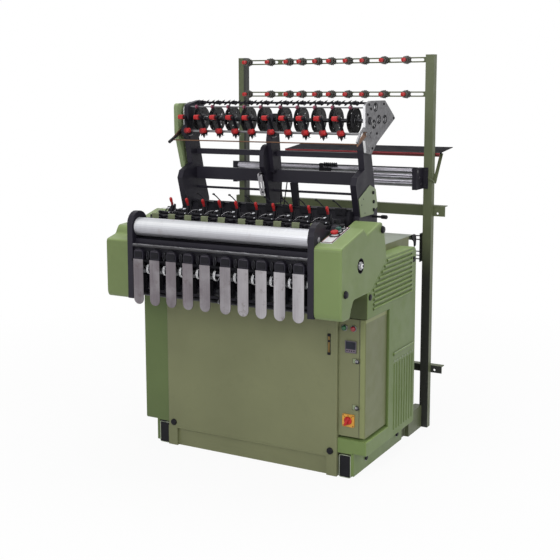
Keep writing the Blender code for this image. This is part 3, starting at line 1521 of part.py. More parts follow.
def centre_on_floor():
    """Move every piece so that the origin is under the middle of the bounding box."""
    bpy.context.view_layer.update()
    corners = [obj.matrix_world @ Vector(corner) for obj in bpy.data.objects for corner in obj.bound_box]
    shift_x = (min(c.x for c in corners) + max(c.x for c in corners)) / 2
    shift_y = (min(c.y for c in corners) + max(c.y for c in corners)) / 2
    for obj in bpy.data.objects:
        obj.location.x -= shift_x
        obj.location.y -= shift_y


clear_scene()
build_base()
build_control_box()
build_head()
build_feeder()
build_rear_frame()
centre_on_floor()
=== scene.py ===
"""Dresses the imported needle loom: camera, soft studio, paint and metal finishes, and the small fittings."""
from math import cos, pi, radians, sin, tau

import bmesh
import bpy
from mathutils import Matrix, Vector


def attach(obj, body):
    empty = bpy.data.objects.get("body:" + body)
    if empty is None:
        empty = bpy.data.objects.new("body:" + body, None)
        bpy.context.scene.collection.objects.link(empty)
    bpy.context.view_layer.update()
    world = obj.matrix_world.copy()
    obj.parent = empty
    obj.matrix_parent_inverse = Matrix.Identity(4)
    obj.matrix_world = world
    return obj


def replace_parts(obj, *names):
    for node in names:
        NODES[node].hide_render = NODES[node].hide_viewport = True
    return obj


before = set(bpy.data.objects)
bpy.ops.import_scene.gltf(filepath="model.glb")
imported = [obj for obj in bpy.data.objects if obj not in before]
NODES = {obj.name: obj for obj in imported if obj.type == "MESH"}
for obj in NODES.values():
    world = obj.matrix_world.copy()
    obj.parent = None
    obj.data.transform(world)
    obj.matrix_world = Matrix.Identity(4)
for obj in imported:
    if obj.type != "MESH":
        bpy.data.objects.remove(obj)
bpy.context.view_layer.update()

SHIFT = Vector((-0.0145, -0.429, 0.0))   # from the machine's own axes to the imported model's

# Camera, solved from the photo, in pixels and metres
PICTURE_SIZE = 560.0
FOCAL_PIXELS = 1037.78
LENS_AXIS = (253.56, 236.83)
CAMERA_PLACE = (2.4597, -4.242, 1.8296)

# Places on the machine, in its own axes
HEAD_FIRST, HEAD_PITCH = 0.0547, 0.0931
BED_HALF = 0.4655
GUARD_FACE = -0.299
DOOR_HIGHLIGHT_BAND = 0.748
BOX_TOP = 0.766
POST_FRONT = 0.88
TRAY_STAY = 0.594


# Materials

class Nodes:
    """A short way to write one material's node tree."""

    def __init__(self, name):
        self.material = bpy.data.materials.new(name)
        self.material.use_nodes = True
        self.tree = self.material.node_tree
        self.shader = self.tree.nodes["Principled BSDF"]
        self.place = self.tree.nodes.new("ShaderNodeTexCoord").outputs["Object"]

    def fill(self, socket, value):
        """Joins a socket to another node's output, or sets it to a value."""
        if isinstance(value, bpy.types.NodeSocket):
            self.tree.links.new(value, socket)
        else:
            socket.default_value = (*value, 1.0) if socket.type == "RGBA" else value

    def set(self, node=None, **values):
        """Fills named inputs of a node, or of the shader where no node is given."""
        for key, value in values.items():
            self.fill((node or self.shader).inputs[key.replace("_", " ")], value)

    def add(self, kind, **values):
        node = self.tree.nodes.new("ShaderNode" + kind)
        self.set(node, **values)
        return node

    def noise(self, scale, detail=3.0, rough=0.5, stretch=None):
        place = self.add("Mapping", Vector=self.place, Scale=stretch).outputs["Vector"] if stretch else self.place
        return self.add("TexNoise", Vector=place, Scale=scale, Detail=detail, Roughness=rough).outputs["Fac"]

    def ramp(self, value, *stops):
        node = self.add("ValToRGB", Fac=value)
        elements = node.color_ramp.elements
        while len(elements) < len(stops):
            elements.new(0.5)
        for element, (position, colour) in zip(elements, stops):
            element.position = position
            element.color = (*colour, 1.0) if isinstance(colour, tuple) else (colour, colour, colour, 1.0)
        return node.outputs["Color"]

    def mix(self, factor, first, second):
        node = self.add("Mix")
        node.data_type = "RGBA"
        for index, value in ((0, factor), (6, first), (7, second)):
            self.fill(node.inputs[index], value)
        return node.outputs[2]

    def times(self, first, second):
        node = self.add("Math")
        node.operation = "MULTIPLY"
        for socket, value in zip(node.inputs, (first, second)):
            self.fill(socket, value)
        return node.outputs[0]

    def facing(self, axis, *stops):
        """A ramp over how far the surface faces along an axis, 0 for square against it and 1 for along it."""
        along = self.add("SeparateXYZ", Vector=self.add("NewGeometry").outputs["Normal"]).outputs[axis]
        return self.ramp(self.add("MapRange", Value=along, From_Min=-1.0).outputs[0], *stops)

    def beyond(self, axis, start, blend):
        """0 below a place along an axis and 1 above it."""
        along = self.add("SeparateXYZ", Vector=self.place).outputs[axis]
        return self.add("MapRange", Value=along, From_Min=start, From_Max=start + blend).outputs[0]

    def blotches(self, scale, detail, rough, low, high, most):
        """Noise cut to blotches: 0 under low and the most over high."""
        return self.times(self.ramp(self.noise(scale, detail, rough), (low, 0.0), (high, 1.0)), most)

    def below(self, axis, start, blend):
        """1 below a place along an axis and 0 above it."""
        return self.ramp(self.beyond(axis, start, blend), (0.0, 1.0), (1.0, 0.0))

    def surface(self, colour, rough, height, strength, distance, metal=0.0, gloss=0.5):
        """Sets the shader's colour, roughness, bump, metal and gloss, and gives the material."""
        bump = self.add("Bump", Height=height, Strength=strength, Distance=distance).outputs["Normal"]
        self.set(Base_Color=colour, Roughness=rough, Normal=bump, Metallic=metal, Specular_IOR_Level=gloss)
        return self.material


def shade(colour, factor):
    return tuple(min(1.0, part * factor) for part in colour)


FRONT_FACE = ("Y", (0.02, 1.0), (0.15, 0.0))
RIGHT_FACE = ("X", (0.9, 0.0), (0.98, 1.0))
SHADOW = (0.02, 0.019, 0.024)


def varied(colour, spread):
    """Two stops of a ramp, a little darker and a little paler than a colour."""
    return (0.3, shade(colour, 1.0 - spread)), (0.7, shade(colour, 1.0 + spread))


def enamel(name, colour, rough=0.38, peel=0.12, dust=0.12, spread=0.1, gloss=0.26, lift=0.0, edge=0.0):
    """Sprayed enamel: faint cloudiness, orange peel, dust on what faces up and a little dirt in blotches, with a
    painted highlight on faces that turn upwards and, where asked, on the 45-degree chamfers.

    Gives the nodes and their colour, for more to be painted over it.
    """
    m = Nodes(name)
    cloud = m.ramp(m.noise(2.2, 4.0, 0.55), *varied(colour, spread))
    soiled = m.mix(m.blotches(9.0, 6.0, 0.62, 0.56, 0.74, 0.22), cloud, shade(colour, 0.62))
    # painted highlight: faces that turn upwards are made paler
    lit = m.mix(m.times(m.facing("Z", (0.6, 0.0), (0.9, 1.0)), lift), soiled, shade(colour, 1.9))
    # painted highlight on the 45-degree chamfers between front and side
    if edge:
        chamfer_highlight_mask = m.facing("X", (0.7, 0.0), (0.78, 1.0), (0.93, 1.0), (0.97, 0.0))
        corner = m.times(chamfer_highlight_mask, m.facing("Y", (0.3, 1.0), (0.38, 0.0)))
        lit = m.mix(m.times(corner, edge), lit, shade(colour, 2.2))
    pale = tuple(0.75 * part + 0.25 * 0.55 for part in colour)
    dusty = m.mix(m.times(m.facing("Z", (0.87, 0.0), (1.0, 1.0)), dust), lit, pale)
    gleam = m.ramp(m.noise(14.0, 4.0), (0.3, rough - 0.06), (0.75, rough + 0.1))
    m.surface(dusty, gleam, m.noise(420.0, 2.0), peel, 0.0006, gloss=gloss)
    return m, dusty


def paint(name, colour, *values, **more):
    return enamel(name, colour, *values, **more)[0].material


def brushed(name, colour, rough, stretch, spread=0.18, scratch=0.25, stain=0.35):
    """Ground or polished steel: fine lines along one way, stains and uneven gloss."""
    m = Nodes(name)
    lines = m.noise(1.0, 4.0, 0.7, stretch=stretch)
    tone = m.ramp(lines, *varied(colour, spread))
    stained = m.mix(m.blotches(16.0, 6.0, 0.66, 0.5, 0.72, stain), tone, shade(colour, 0.55))
    gleam = m.ramp(lines, (0.25, rough - 0.07), (0.75, rough + 0.09))
    return m.surface(stained, gleam, lines, scratch, 0.0004, metal=1.0)


def moulded(name, colour, rough=0.3, grain=0.15, spread=0.1, scale=60.0, gloss=0.5):
    """Moulded plastic or rubber with handling marks."""
    m = Nodes(name)
    tone = m.ramp(m.noise(scale, 4.0), *varied(colour, spread))
    gleam = m.ramp(m.noise(38.0, 5.0), (0.35, rough - 0.08), (0.7, rough + 0.14))
    return m.surface(tone, gleam, m.noise(650.0, 2.0), grain, 0.0004, gloss=gloss)


def guard_metal():
    """Polished guards, each of its own tone, with upright rubbing marks and brownish stains; painted shade and
    highlight make them darker towards the left and paler towards the right, and painted shade makes all behind their
    front face near-black.
    """
    m = Nodes("guard_steel")
    lines = m.noise(1.0, 4.0, 0.7, stretch=(420.0, 420.0, 7.0))
    # painted shade and highlight: darker towards the left, paler towards the right
    left = m.ramp(lines, (0.3, (0.15, 0.132, 0.146)), (0.7, (0.225, 0.202, 0.218)))
    right = m.ramp(lines, (0.3, (0.33, 0.315, 0.33)), (0.7, (0.44, 0.425, 0.445)))
    tone = m.mix(m.beyond("X", -0.1, 0.42), left, right)
    each = m.ramp(m.noise(1.0, 0.0, 0.5, stretch=(13.0, 0.1, 0.1)), (0.35, 0.62), (0.62, 1.0))
    uneven = m.mix(each, (0.125, 0.112, 0.122), tone)
    worn = m.mix(m.blotches(7.0, 5.0, 0.6, 0.46, 0.7, 0.45), uneven, (0.38, 0.372, 0.385))
    stained = m.mix(m.blotches(34.0, 6.0, 0.68, 0.56, 0.72, 0.55), worn, (0.1, 0.07, 0.062))
    # painted shade: all behind the guards' front face is near-black
    back_shade = m.mix(m.beyond("Y", GUARD_FACE + SHIFT.y, 0.0004), stained, (0.01, 0.01, 0.012))
    return m.surface(back_shade, m.ramp(lines, (0.25, 0.34), (0.75, 0.5)), lines, 0.12, 0.0004, metal=1.0)


def roller_metal():
    """Ground roller with faint rings and smears, painted pale on top and greyer below as painted reflection."""
    m = Nodes("roller_chrome")
    rings = m.noise(1.0, 4.0, 0.6, stretch=(26.0, 3.0, 3.0))
    # painted reflection: colour set by how far the surface faces up
    tone = m.facing("Z", (0.18, (0.27, 0.27, 0.29)), (0.42, (0.4, 0.4, 0.43)), (0.62, (0.56, 0.57, 0.6)),
                    (0.8, (0.8, 0.81, 0.83)), (0.95, (0.52, 0.53, 0.56)))
    ringed = m.mix(m.times(m.ramp(rings, (0.45, 0.0), (0.75, 1.0)), 0.16), tone, (0.26, 0.25, 0.27))
    smeared = m.mix(m.blotches(11.0, 6.0, 0.66, 0.58, 0.76, 0.35), ringed, (0.22, 0.17, 0.15))
    gleam = m.ramp(rings, (0.25, 0.3), (0.75, 0.44))
    return m.surface(smeared, gleam, m.noise(240.0, 3.0), 0.05, 0.0003, metal=0.72)


def rod_metal():
    """Thin dark rod with one painted highlight line along its top."""
    m = Nodes("guide_rod_steel")
    # painted highlight on the faces that face up
    line = m.facing("Z", (0.78, (0.03, 0.03, 0.034)), (0.9, (0.42, 0.42, 0.44)))
    patchy = m.mix(m.ramp(m.noise(18.0, 4.0, 0.6), (0.42, 0.0), (0.62, 0.7)), line, (0.05, 0.048, 0.052))
    gleam = m.ramp(m.noise(30.0, 4.0), (0.3, 0.34), (0.7, 0.5))
    return m.surface(patchy, gleam, m.noise(200.0, 3.0), 0.1, 0.0004, metal=0.5)


def cast_metal():
    """Rough casting with a painted highlight on the faces that face the front."""
    m = Nodes("cast_metal")
    tone = m.ramp(m.noise(70.0, 6.0, 0.7), (0.3, (0.075, 0.075, 0.082)), (0.72, (0.215, 0.212, 0.222)))
    front_face_highlight = m.mix(m.facing("Y", (0.05, 1.0), (0.22, 0.0)), tone, (0.7, 0.7, 0.72))
    gleam = m.ramp(m.noise(30.0, 5.0), (0.3, 0.36), (0.7, 0.52))
    return m.surface(front_face_highlight, gleam, m.noise(160.0, 3.0), 0.4, 0.0006, metal=0.3, gloss=0.4)


def door_paint(name, colour):
    """The control box door's olive, with painted highlights on its front edge and along the top of its side."""
    m, drawn = enamel(name, colour, 0.4, lift=0.6)
    # painted highlight on the faces that face the front
    front = m.mix(m.times(m.facing(*FRONT_FACE), 0.8), drawn, shade(colour, 1.5))
    # painted highlight along the top of the right side face
    band = m.times(m.facing(*RIGHT_FACE), m.beyond("Z", DOOR_HIGHLIGHT_BAND, 0.004))
    m.set(Base_Color=m.mix(m.times(band, 0.8), front, shade(colour, 1.7)))
    return m.material


def side_paint(name, colour):
    """The side covers' green, with painted shadow under the louvres and in the corner under the right head cover, and a
    painted highlight on faces that turn upwards.
    """
    m, drawn = enamel(name, colour, 0.4, lift=0.65)
    height = m.times(m.beyond("Z", BOX_TOP, 0.002), m.below("Z", 0.86, 0.05))
    nook = m.times(height, m.facing("Y", (0.02, 1.0), (0.1, 0.0)))
    corner = m.mix(m.times(nook, 0.7), drawn, (0.045, 0.048, 0.022))
    under = m.times(m.facing("Z", (0.2, 1.0), (0.46, 0.0)), m.beyond("Z", 0.2, 0.002))
    shadowed = m.mix(m.times(under, 0.8), corner, (0.026, 0.038, 0.012))
    # painted highlight: faces that turn upwards are made paler
    upper = m.times(m.facing("Z", (0.54, 0.0), (0.72, 1.0)), 0.5)
    m.set(Base_Color=m.mix(upper, shadowed, shade(colour, 1.9)))
    return m.material


def tray_paint():
    """Black sheet, with its stay at the right painted like the posts."""
    m = Nodes("tray_enamel")
    cloud = m.ramp(m.noise(9.0, 5.0), (0.3, (0.008, 0.0078, 0.01)), (0.7, (0.015, 0.0142, 0.0175)))
    sheet = m.mix(m.blotches(40.0, 6.0, 0.66, 0.6, 0.74, 0.25), cloud, (0.045, 0.043, 0.045))
    stay = m.mix(m.beyond("Z", 1.463, 0.001), (0.112, 0.126, 0.07), sheet)
    colour = m.mix(m.beyond("X", TRAY_STAY + SHIFT.x, 0.0004), sheet, stay)
    gleam = m.ramp(m.noise(20.0, 4.0), (0.3, 0.66), (0.7, 0.8))
    return m.surface(colour, gleam, m.noise(420.0, 2.0), 0.2, 0.0006, gloss=0.03)


def post_paint():
    """Olive paint, with painted shade: nearly black on the low front of the posts, on a strip of the left post's front
    and on the left post's inner part.
    """
    m = Nodes("post_enamel")
    cloud = m.ramp(m.noise(2.2, 4.0, 0.55), (0.3, (0.094, 0.11, 0.056)), (0.7, (0.122, 0.142, 0.076)))
    # painted shade on the left post's inner face, on a strip of its front and on the low front of both posts
    inner = m.mix(m.times(m.times(m.below("X", -0.3, 0.1), m.facing(*RIGHT_FACE)), 0.85), cloud, SHADOW)
    shaded_strip = m.times(m.beyond("X", -0.549, 0.003), m.below("X", -0.5343, 0.0006))
    shaded = m.mix(m.times(m.times(shaded_strip, m.facing(*FRONT_FACE)), 0.85), inner, SHADOW)
    front = m.times(m.facing(*FRONT_FACE), m.beyond("Y", POST_FRONT + SHIFT.y, 0.004))
    low_front_shade = m.mix(m.times(m.times(m.below("Z", 0.8, 0.22), front), 0.85), shaded, (0.02, 0.019, 0.026))
    worn = m.mix(m.blotches(46.0, 6.0, 0.66, 0.62, 0.72, 0.3), low_front_shade, (0.06, 0.058, 0.048))
    gleam = m.ramp(m.noise(14.0, 4.0), (0.3, 0.4), (0.75, 0.55))
    return m.surface(worn, gleam, m.noise(420.0, 2.0), 0.12, 0.0006, gloss=0.3)


# Painted highlights: the green covers get paler on faces that turn upwards, and the right head cover on its chamfers.
GREEN = paint("green_enamel", (0.15, 0.204, 0.076), 0.36, lift=0.5, edge=0.55)
SIDE_GREEN = side_paint("side_enamel", (0.132, 0.186, 0.062))
# Painted shade: the left-hand covers get darker copies of the green, as they stand away from the light.
SHADED_LEFT_SIDE = side_paint("shaded_left_side_enamel", (0.1, 0.138, 0.05))
SHADED_LEFT_GREEN = paint("shaded_left_enamel", (0.128, 0.168, 0.066), 0.4, lift=0.9)
GEAR_GREEN = paint("gear_enamel", (0.185, 0.235, 0.12), 0.42, lift=0.6)
SKID = paint("skid_enamel", (0.092, 0.104, 0.062), 0.45)
PLATE_GREEN = paint("plate_enamel", (0.225, 0.272, 0.165), 0.42)
OLIVE = paint("olive_enamel", (0.162, 0.172, 0.09), 0.42)
LIT_GEAR_SIDE = paint("lit_gear_side_enamel", (0.235, 0.3, 0.15), 0.42)
DOOR = door_paint("door_enamel", (0.138, 0.154, 0.068))
POST = post_paint()
DECK = paint("deck_enamel", (0.3, 0.335, 0.275), 0.45)
BLACK = paint("black_enamel", (0.0125, 0.0112, 0.018), 0.46, peel=0.3, dust=0.02, spread=0.3, gloss=0.22)
CAST = cast_metal()
BED = paint("bed_enamel", (0.007, 0.0066, 0.01), 0.5, peel=0.3, dust=0.01, spread=0.3, gloss=0.12)
TRAY = tray_paint()
PRESS = brushed("press_steel", (0.34, 0.34, 0.36), 0.36, (60.0, 90.0, 90.0), 0.2, 0.1, 0.4)
CHROME = roller_metal()
PACK = brushed("pack_steel", (0.38, 0.37, 0.41), 0.28, (5.0, 120.0, 120.0), 0.5, 0.08, 0.55)
STEEL = guard_metal()
ROD = brushed("rod_steel", (0.24, 0.24, 0.25), 0.34, (6.0, 300.0, 300.0), 0.2, 0.1, 0.5)
HIGHLIGHT_ROD = rod_metal()
DARK = brushed("dark_steel", (0.045, 0.045, 0.05), 0.4, (30.0, 60.0, 60.0), 0.35, 0.3, 0.5)
BRASS = brushed("gauge_brass", (0.17, 0.115, 0.045), 0.42, (90.0, 90.0, 12.0), 0.25, 0.2, 0.5)
WIRE = brushed("brown_wire", (0.17, 0.095, 0.06), 0.48, (20.0, 90.0, 90.0), 0.25, 0.2, 0.4)
RED = moulded("red_plastic", (0.42, 0.017, 0.018), 0.4, gloss=0.3)
DEEP_RED = moulded("deep_red_plastic", (0.21, 0.009, 0.012), 0.42, gloss=0.3)
YELLOW = moulded("yellow_plastic", (0.56, 0.27, 0.03), 0.42)
WHITE = moulded("white_plastic", (0.66, 0.67, 0.68), 0.4)
# Painted shine: a near-white non-metal standing in for bright reflections on chrome, on the press rollers' ends and the
# crank hub's nut.
SHINE_WHITE = moulded("bright_steel", (0.78, 0.78, 0.8), 0.24, 0.1, 0.12, 140.0)
GREEN_BUTTON = moulded("green_plastic", (0.01, 0.07, 0.052), 0.3)
JET = moulded("black_plastic", (0.0065, 0.0062, 0.009), 0.46, 0.3, 0.25, gloss=0.16)
REED = moulded("reed_block", (0.135, 0.155, 0.082), 0.5, 0.3, 0.2)
MAROON = paint("maroon_enamel", (0.11, 0.018, 0.018), 0.4)

FINISHES = {
    GREEN: "head_cover_right",
    SKID: "skid_left skid_right",
    PLATE_GREEN: "stand_cover",
    BED: "weaving_bed",
    TRAY: "tray",
    SIDE_GREEN: "side_cover_right",
    SHADED_LEFT_SIDE: "side_cover_left",
    SHADED_LEFT_GREEN: "head_cover_left",
    GEAR_GREEN: "gearbox_cover",
    DOOR: "control_box_door",
    OLIVE: "front_panel plinth cabinet control_box",
    POST: "rear_post_left rear_post_right angle_bar angle_bar_lower yarn_bar_upper yarn_bar_lower",
    BLACK: ("head_box side_plate_left side_plate_right front_beam stand_left stand_center stand_right mid_beam "
            "upper_beam tie_rod feed_gearbox roller_block_left roller_block_right top_rod reed_blocks "
            "weft_feed_shaft"),
    PRESS: "press_rollers",
    CAST: "feed_end_plate",
    CHROME: "front_roller",
    PACK: "pack_roller_1 pack_roller_2 pack_roller_3",
    STEEL: "guard_plates",
    ROD: "tension_bar ring_rod crank_shaft",
    HIGHLIGHT_ROD: "guide_rod",
    DARK: "lease_frame",
    WIRE: "stop_bail",
    RED: "isolator_knob stop_button clamp_levers",
    YELLOW: "isolator_plate",
    WHITE: "button_panel",
    GREEN_BUTTON: "start_button",
    JET: "jog_button",
}


def placed(name, data):
    obj = bpy.data.objects.new(name, data)
    bpy.context.scene.collection.objects.link(obj)
    return obj


def soften(obj, name, width, segments, angle):
    edge = obj.modifiers.new(name, "BEVEL")
    edge.width = width
    edge.segments = segments
    edge.limit_method = "ANGLE"
    edge.angle_limit = radians(angle)
    return edge


SOFTENED = "control_box_door control_box stand_cover button_panel"


def finish_nodes():
    for material, names in FINISHES.items():
        for name in names.split():
            node = NODES[name]
            node.data.materials.clear()
            node.data.materials.append(material)
    for name in SOFTENED.split():
        node = NODES[name]
        node.modifiers.new("weld", "WELD").merge_threshold = 0.00001
        soften(node, "soft_edge", 0.003, 3, 50).harden_normals = True


# Studio

def floor():
    mesh = bpy.data.meshes.new("studio_floor")
    built = bmesh.new()
    bmesh.ops.create_grid(built, x_segments=8, y_segments=8, size=30.0)
    built.to_mesh(mesh)
    built.free()
    plane = placed("studio_floor", mesh)
    plane.location.z = -0.0005
    m = Nodes("studio_floor")
    m.set(Base_Color=(0.8, 0.8, 0.8), Roughness=0.9)
    away = m.add("VectorMath")
    away.operation = "LENGTH"
    m.fill(away.inputs[0], m.place)
    fade = m.add("MapRange", Value=away.outputs["Value"], From_Min=1.0, From_Max=3.6, To_Min=0.93)
    share = m.add("MixShader")
    blend = (m.times(seen_directly(m.tree), fade.outputs[0]), m.shader.outputs[0], m.add("Emission").outputs[0])
    for socket, value in zip(share.inputs, blend):
        m.fill(socket, value)
    m.fill(m.tree.nodes["Material Output"].inputs["Surface"], share.outputs[0])
    mesh.materials.append(m.material)


def seen_directly(tree):
    """1 for camera, glossy and transmission rays, else 0."""
    path = tree.nodes.new("ShaderNodeLightPath")
    total = path.outputs["Is Camera Ray"]
    for name in ("Is Glossy Ray", "Is Transmission Ray"):
        add = tree.nodes.new("ShaderNodeMath")
        add.operation = "MAXIMUM"
        tree.links.new(total, add.inputs[0])
        tree.links.new(path.outputs[name], add.inputs[1])
        total = add.outputs[0]
    return total


def surroundings():
    world = bpy.data.worlds.new("studio")
    world.use_nodes = True
    tree = world.node_tree
    background = tree.nodes["Background"]
    strength = tree.nodes.new("ShaderNodeMapRange")
    strength.inputs["To Min"].default_value = 0.34
    tree.links.new(seen_directly(tree), strength.inputs["Value"])
    tree.links.new(strength.outputs[0], background.inputs["Strength"])
    background.inputs["Color"].default_value = (1.0, 1.0, 1.0, 1.0)
    bpy.context.scene.world = world


def lamp(name, place, target, size, power):
    light = bpy.data.lights.new(name, "AREA")
    light.shape = "DISK"
    light.size = size
    light.energy = power
    holder = placed(name, light)
    holder.location = place
    holder.rotation_euler = (Vector(target) - Vector(place)).to_track_quat("-Z", "Y").to_euler()


def camera():
    yaw, pitch, roll = 0.5196, 0.1453, -0.0053
    forward = Vector((-sin(yaw) * cos(pitch), cos(yaw) * cos(pitch), -sin(pitch)))
    level = Vector((cos(yaw), sin(yaw), 0.0))
    upright = level.cross(forward)
    right = level * cos(roll) + upright * sin(roll)
    up = upright * cos(roll) - level * sin(roll)
    lens = bpy.data.cameras.new("photo_camera")
    lens.sensor_width = 36.0
    lens.lens = FOCAL_PIXELS / PICTURE_SIZE * lens.sensor_width
    lens.shift_x = 0.5 - LENS_AXIS[0] / PICTURE_SIZE
    lens.shift_y = LENS_AXIS[1] / PICTURE_SIZE - 0.5
    holder = placed("photo_camera", lens)
    matrix = Matrix((right, up, -forward)).transposed().to_4x4()
    matrix.translation = Vector(CAMERA_PLACE) + SHIFT
    holder.matrix_world = matrix
    bpy.context.scene.camera = holder


camera()
floor()
surroundings()
lamp("key", (0.3, -5.4, 2.8), (0.0, 0.0, 0.8), 2.6, 146.0)
lamp("side", (4.8, -1.6, 2.8), (0.3, 0.0, 0.8), 2.4, 76.0)
lamp("top", (0.2, 0.6, 5.2), (0.0, 0.1, 1.0), 3.0, 100.0)
bpy.context.scene.view_settings.view_transform = "Standard"
finish_nodes()


# Shapes, all in the machine's own axes: X along the front, Y to the back from the front panel's face

HEADS = sorted(side * (HEAD_FIRST + HEAD_PITCH * k) for side in (-1, 1) for k in range(5))
FEED = (0.275, 1.66)
TENSION = (0.201, 1.601)
YARN_CLAMP_XS = (-0.498, -0.353, -0.237, -0.157, -0.061, 0.021, 0.119, 0.215, 0.325, 0.449)


def on_axis(axis, first, second, along):
    if axis == "x":
        return (along, first, second)
    if axis == "y":
        return (first, along, second)
    return (first, second, along)


def arc(centre, radius, start, end, steps=10):
    """Points (a, b) along an arc given in degrees."""
    angles = [radians(start + (end - start) * k / steps) for k in range(steps + 1)]
    return [(centre[0] + radius * cos(a), centre[1] + radius * sin(a)) for a in angles]


def ring_of(centre, radius, count):
    return arc(centre, radius, 0.0, 360.0, count)[:-1]


class Part:
    """Collects shapes and turns them into one piece that rides on a CAD body."""

    def __init__(self, name, body="frame"):
        self.name = name
        self.body = body
        self.built = bmesh.new()
        self.finishes = []
        self.at = 0.0

    def each(self, places):
        """For a loop over places along X, each added to the X of what is built in it."""
        for self.at in places:
            yield self.at
        self.at = 0.0

    def slot(self, material):
        if material not in self.finishes:
            self.finishes.append(material)
        return self.finishes.index(material)

    def loft(self, material, rings, loop=False):
        index = self.slot(material)
        rows = [[self.built.verts.new((x + self.at, y, z)) for x, y, z in ring] for ring in rings]
        faces = []
        if not loop:
            faces += [self.built.faces.new(rows[0]), self.built.faces.new(list(reversed(rows[-1])))]
        count = len(rows[0])
        pairs = list(zip(rows, rows[1:])) + ([(rows[-1], rows[0])] if loop else [])
        for near, far in pairs:
            for i in range(count):
                j = (i + 1) % count
                faces.append(self.built.faces.new((near[i], near[j], far[j], far[i])))
        for face in faces:
            face.material_index = index

    def shell(self, material, *stages):
        """Joins outlines in YZ, each given with its place along X."""
        self.loft(material, [[(x, y, z) for y, z in outline] for x, outline in stages])

    def prism(self, material, outline, start, end, axis="x"):
        self.loft(material, [[on_axis(axis, a, b, along) for a, b in outline] for along in (start, end)])

    def box(self, material, x0, x1, y0, y1, z0, z1):
        self.prism(material, [(y0, z0), (y1, z0), (y1, z1), (y0, z1)], x0, x1)

    def turned(self, material, centre, profile, segments=24, axis="x"):
        """Profile of (along, radius) turned about an axis through centre, its two cross coordinates."""
        self.loft(material, [[on_axis(axis, *p, along) for p in ring_of(centre, radius, segments)]
                             for along, radius in profile])

    def bar(self, material, centre, start, end, radius, segments=24, axis="x"):
        self.turned(material, centre, [(start, radius), (end, radius)], segments, axis)

    def tube(self, material, points, radius, sides=8, loop=False):
        """Round wire along points."""
        path = [Vector(p) for p in points]
        count = len(path)
        rings = []
        normal = None
        for i, point in enumerate(path):
            before = path[i - 1] if i or loop else point
            after = path[(i + 1) % count] if i + 1 < count or loop else point
            along = (after - before).normalized()
            if normal is None:
                normal = along.orthogonal().normalized()
            normal = (normal - along * normal.dot(along)).normalized()
            other = along.cross(normal)
            rings.append([point + normal * a + other * b for a, b in ring_of((0.0, 0.0), radius, sides)])
        self.loft(material, rings, loop)

    def hoop(self, material, centre, along, radius, thick, steps=32, sides=8, axis="x"):
        self.tube(material, [on_axis(axis, *p, along) for p in ring_of(centre, radius, steps)], thick, sides, True)

    def stamp(self, material, mesh, matrix):
        """A copy of a ready mesh."""
        index = self.slot(material)
        extra = bmesh.new()
        extra.from_mesh(mesh)
        extra.transform(matrix)
        for face in extra.faces:
            face.material_index = index
        copy = bpy.data.meshes.new("stamp")
        extra.to_mesh(copy)
        extra.free()
        self.built.from_mesh(copy)
        bpy.data.meshes.remove(copy)

    def done(self, bevel=0.0, smooth=35.0):
        bmesh.ops.recalc_face_normals(self.built, faces=self.built.faces)
        bmesh.ops.translate(self.built, verts=self.built.verts, vec=SHIFT)
        mesh = bpy.data.meshes.new(self.name)
        self.built.to_mesh(mesh)
        self.built.free()
        for material in self.finishes:
            mesh.materials.append(material)
        mesh.shade_smooth()
        mesh.set_sharp_from_angle(angle=radians(smooth))
        obj = placed(self.name, mesh)
        if bevel:
            soften(obj, "edge", bevel, 2, 40)
        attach(obj, self.body)
        return obj


def pierced(outline, holes, thickness):
    """Flat plate in XY with holes, its middle plane at Z = 0."""
    rim = 0.0004   # the rounding of its edges
    curve = bpy.data.curves.new("pierced", "CURVE")
    curve.dimensions = "2D"
    curve.fill_mode = "BOTH"
    curve.extrude = thickness / 2 - rim
    curve.bevel_depth = rim
    curve.offset = -rim
    for loop in [outline] + holes:
        spline = curve.splines.new("POLY")
        spline.points.add(len(loop) - 1)
        for point, (a, b) in zip(spline.points, loop):
            point.co = (a, b, 0.0, 1.0)
        spline.use_cyclic_u = True
    holder = placed("pierced", curve)
    bpy.context.view_layer.update()
    mesh = bpy.data.meshes.new_from_object(holder.evaluated_get(bpy.context.evaluated_depsgraph_get()))
    bpy.data.objects.remove(holder)
    return mesh


def facing_x(x, y, z, turn=0.0):
    """Places a plate made in XY so that its own X runs along Y and its own Y along Z."""
    axes = Matrix(((0, 0, 1), (1, 0, 0), (0, 1, 0))).to_4x4()
    return Matrix.Translation((x, y, z)) @ Matrix.Rotation(turn, 4, "X") @ axes


# Weft feeder

def feed_wheels():
    part = Part("feed_wheels", "weft_feed_shaft_body")
    part.bar(DARK, FEED, -0.4785, 0.5083, 0.0098, 20)
    holes = [ring_of(p, 0.003, 10) for p in ring_of((0, 0), 0.053, 12)]
    holes += [ring_of(p, 0.005, 12) for p in ring_of((0, 0), 0.036, 4)]
    disc = pierced(ring_of((0, 0), 0.0618, 56), holes, 0.0034)
    for k, x in enumerate(HEADS):
        for side in (-1, 1):
            part.stamp(WHEEL, disc, facing_x(x + side * 0.011, *FEED, 0.4 * k + 0.26 * side))
            part.hoop(WHEEL, FEED, x + side * 0.0118, 0.0605, 0.0013, 56, 6)
            part.hoop(ROD, FEED, x + side * 0.013, 0.0235, 0.0012, 32, 6)
        hub = [(x - 0.016, 0.018), (x - 0.013, 0.0238), (x + 0.013, 0.0238), (x + 0.016, 0.018)]
        part.turned(DARK, FEED, hub)
        part.turned(ROD, FEED, [(x + 0.016, 0.014), (x + 0.021, 0.014), (x + 0.022, 0.012)], 6)
        y, z = FEED
        part.tube(ROD, [(x + 0.0135, y - 0.006, z + 0.014), (x + 0.015, y - 0.03, z + 0.03)], 0.0014)
    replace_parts(part.done(), "weft_feed_shaft")


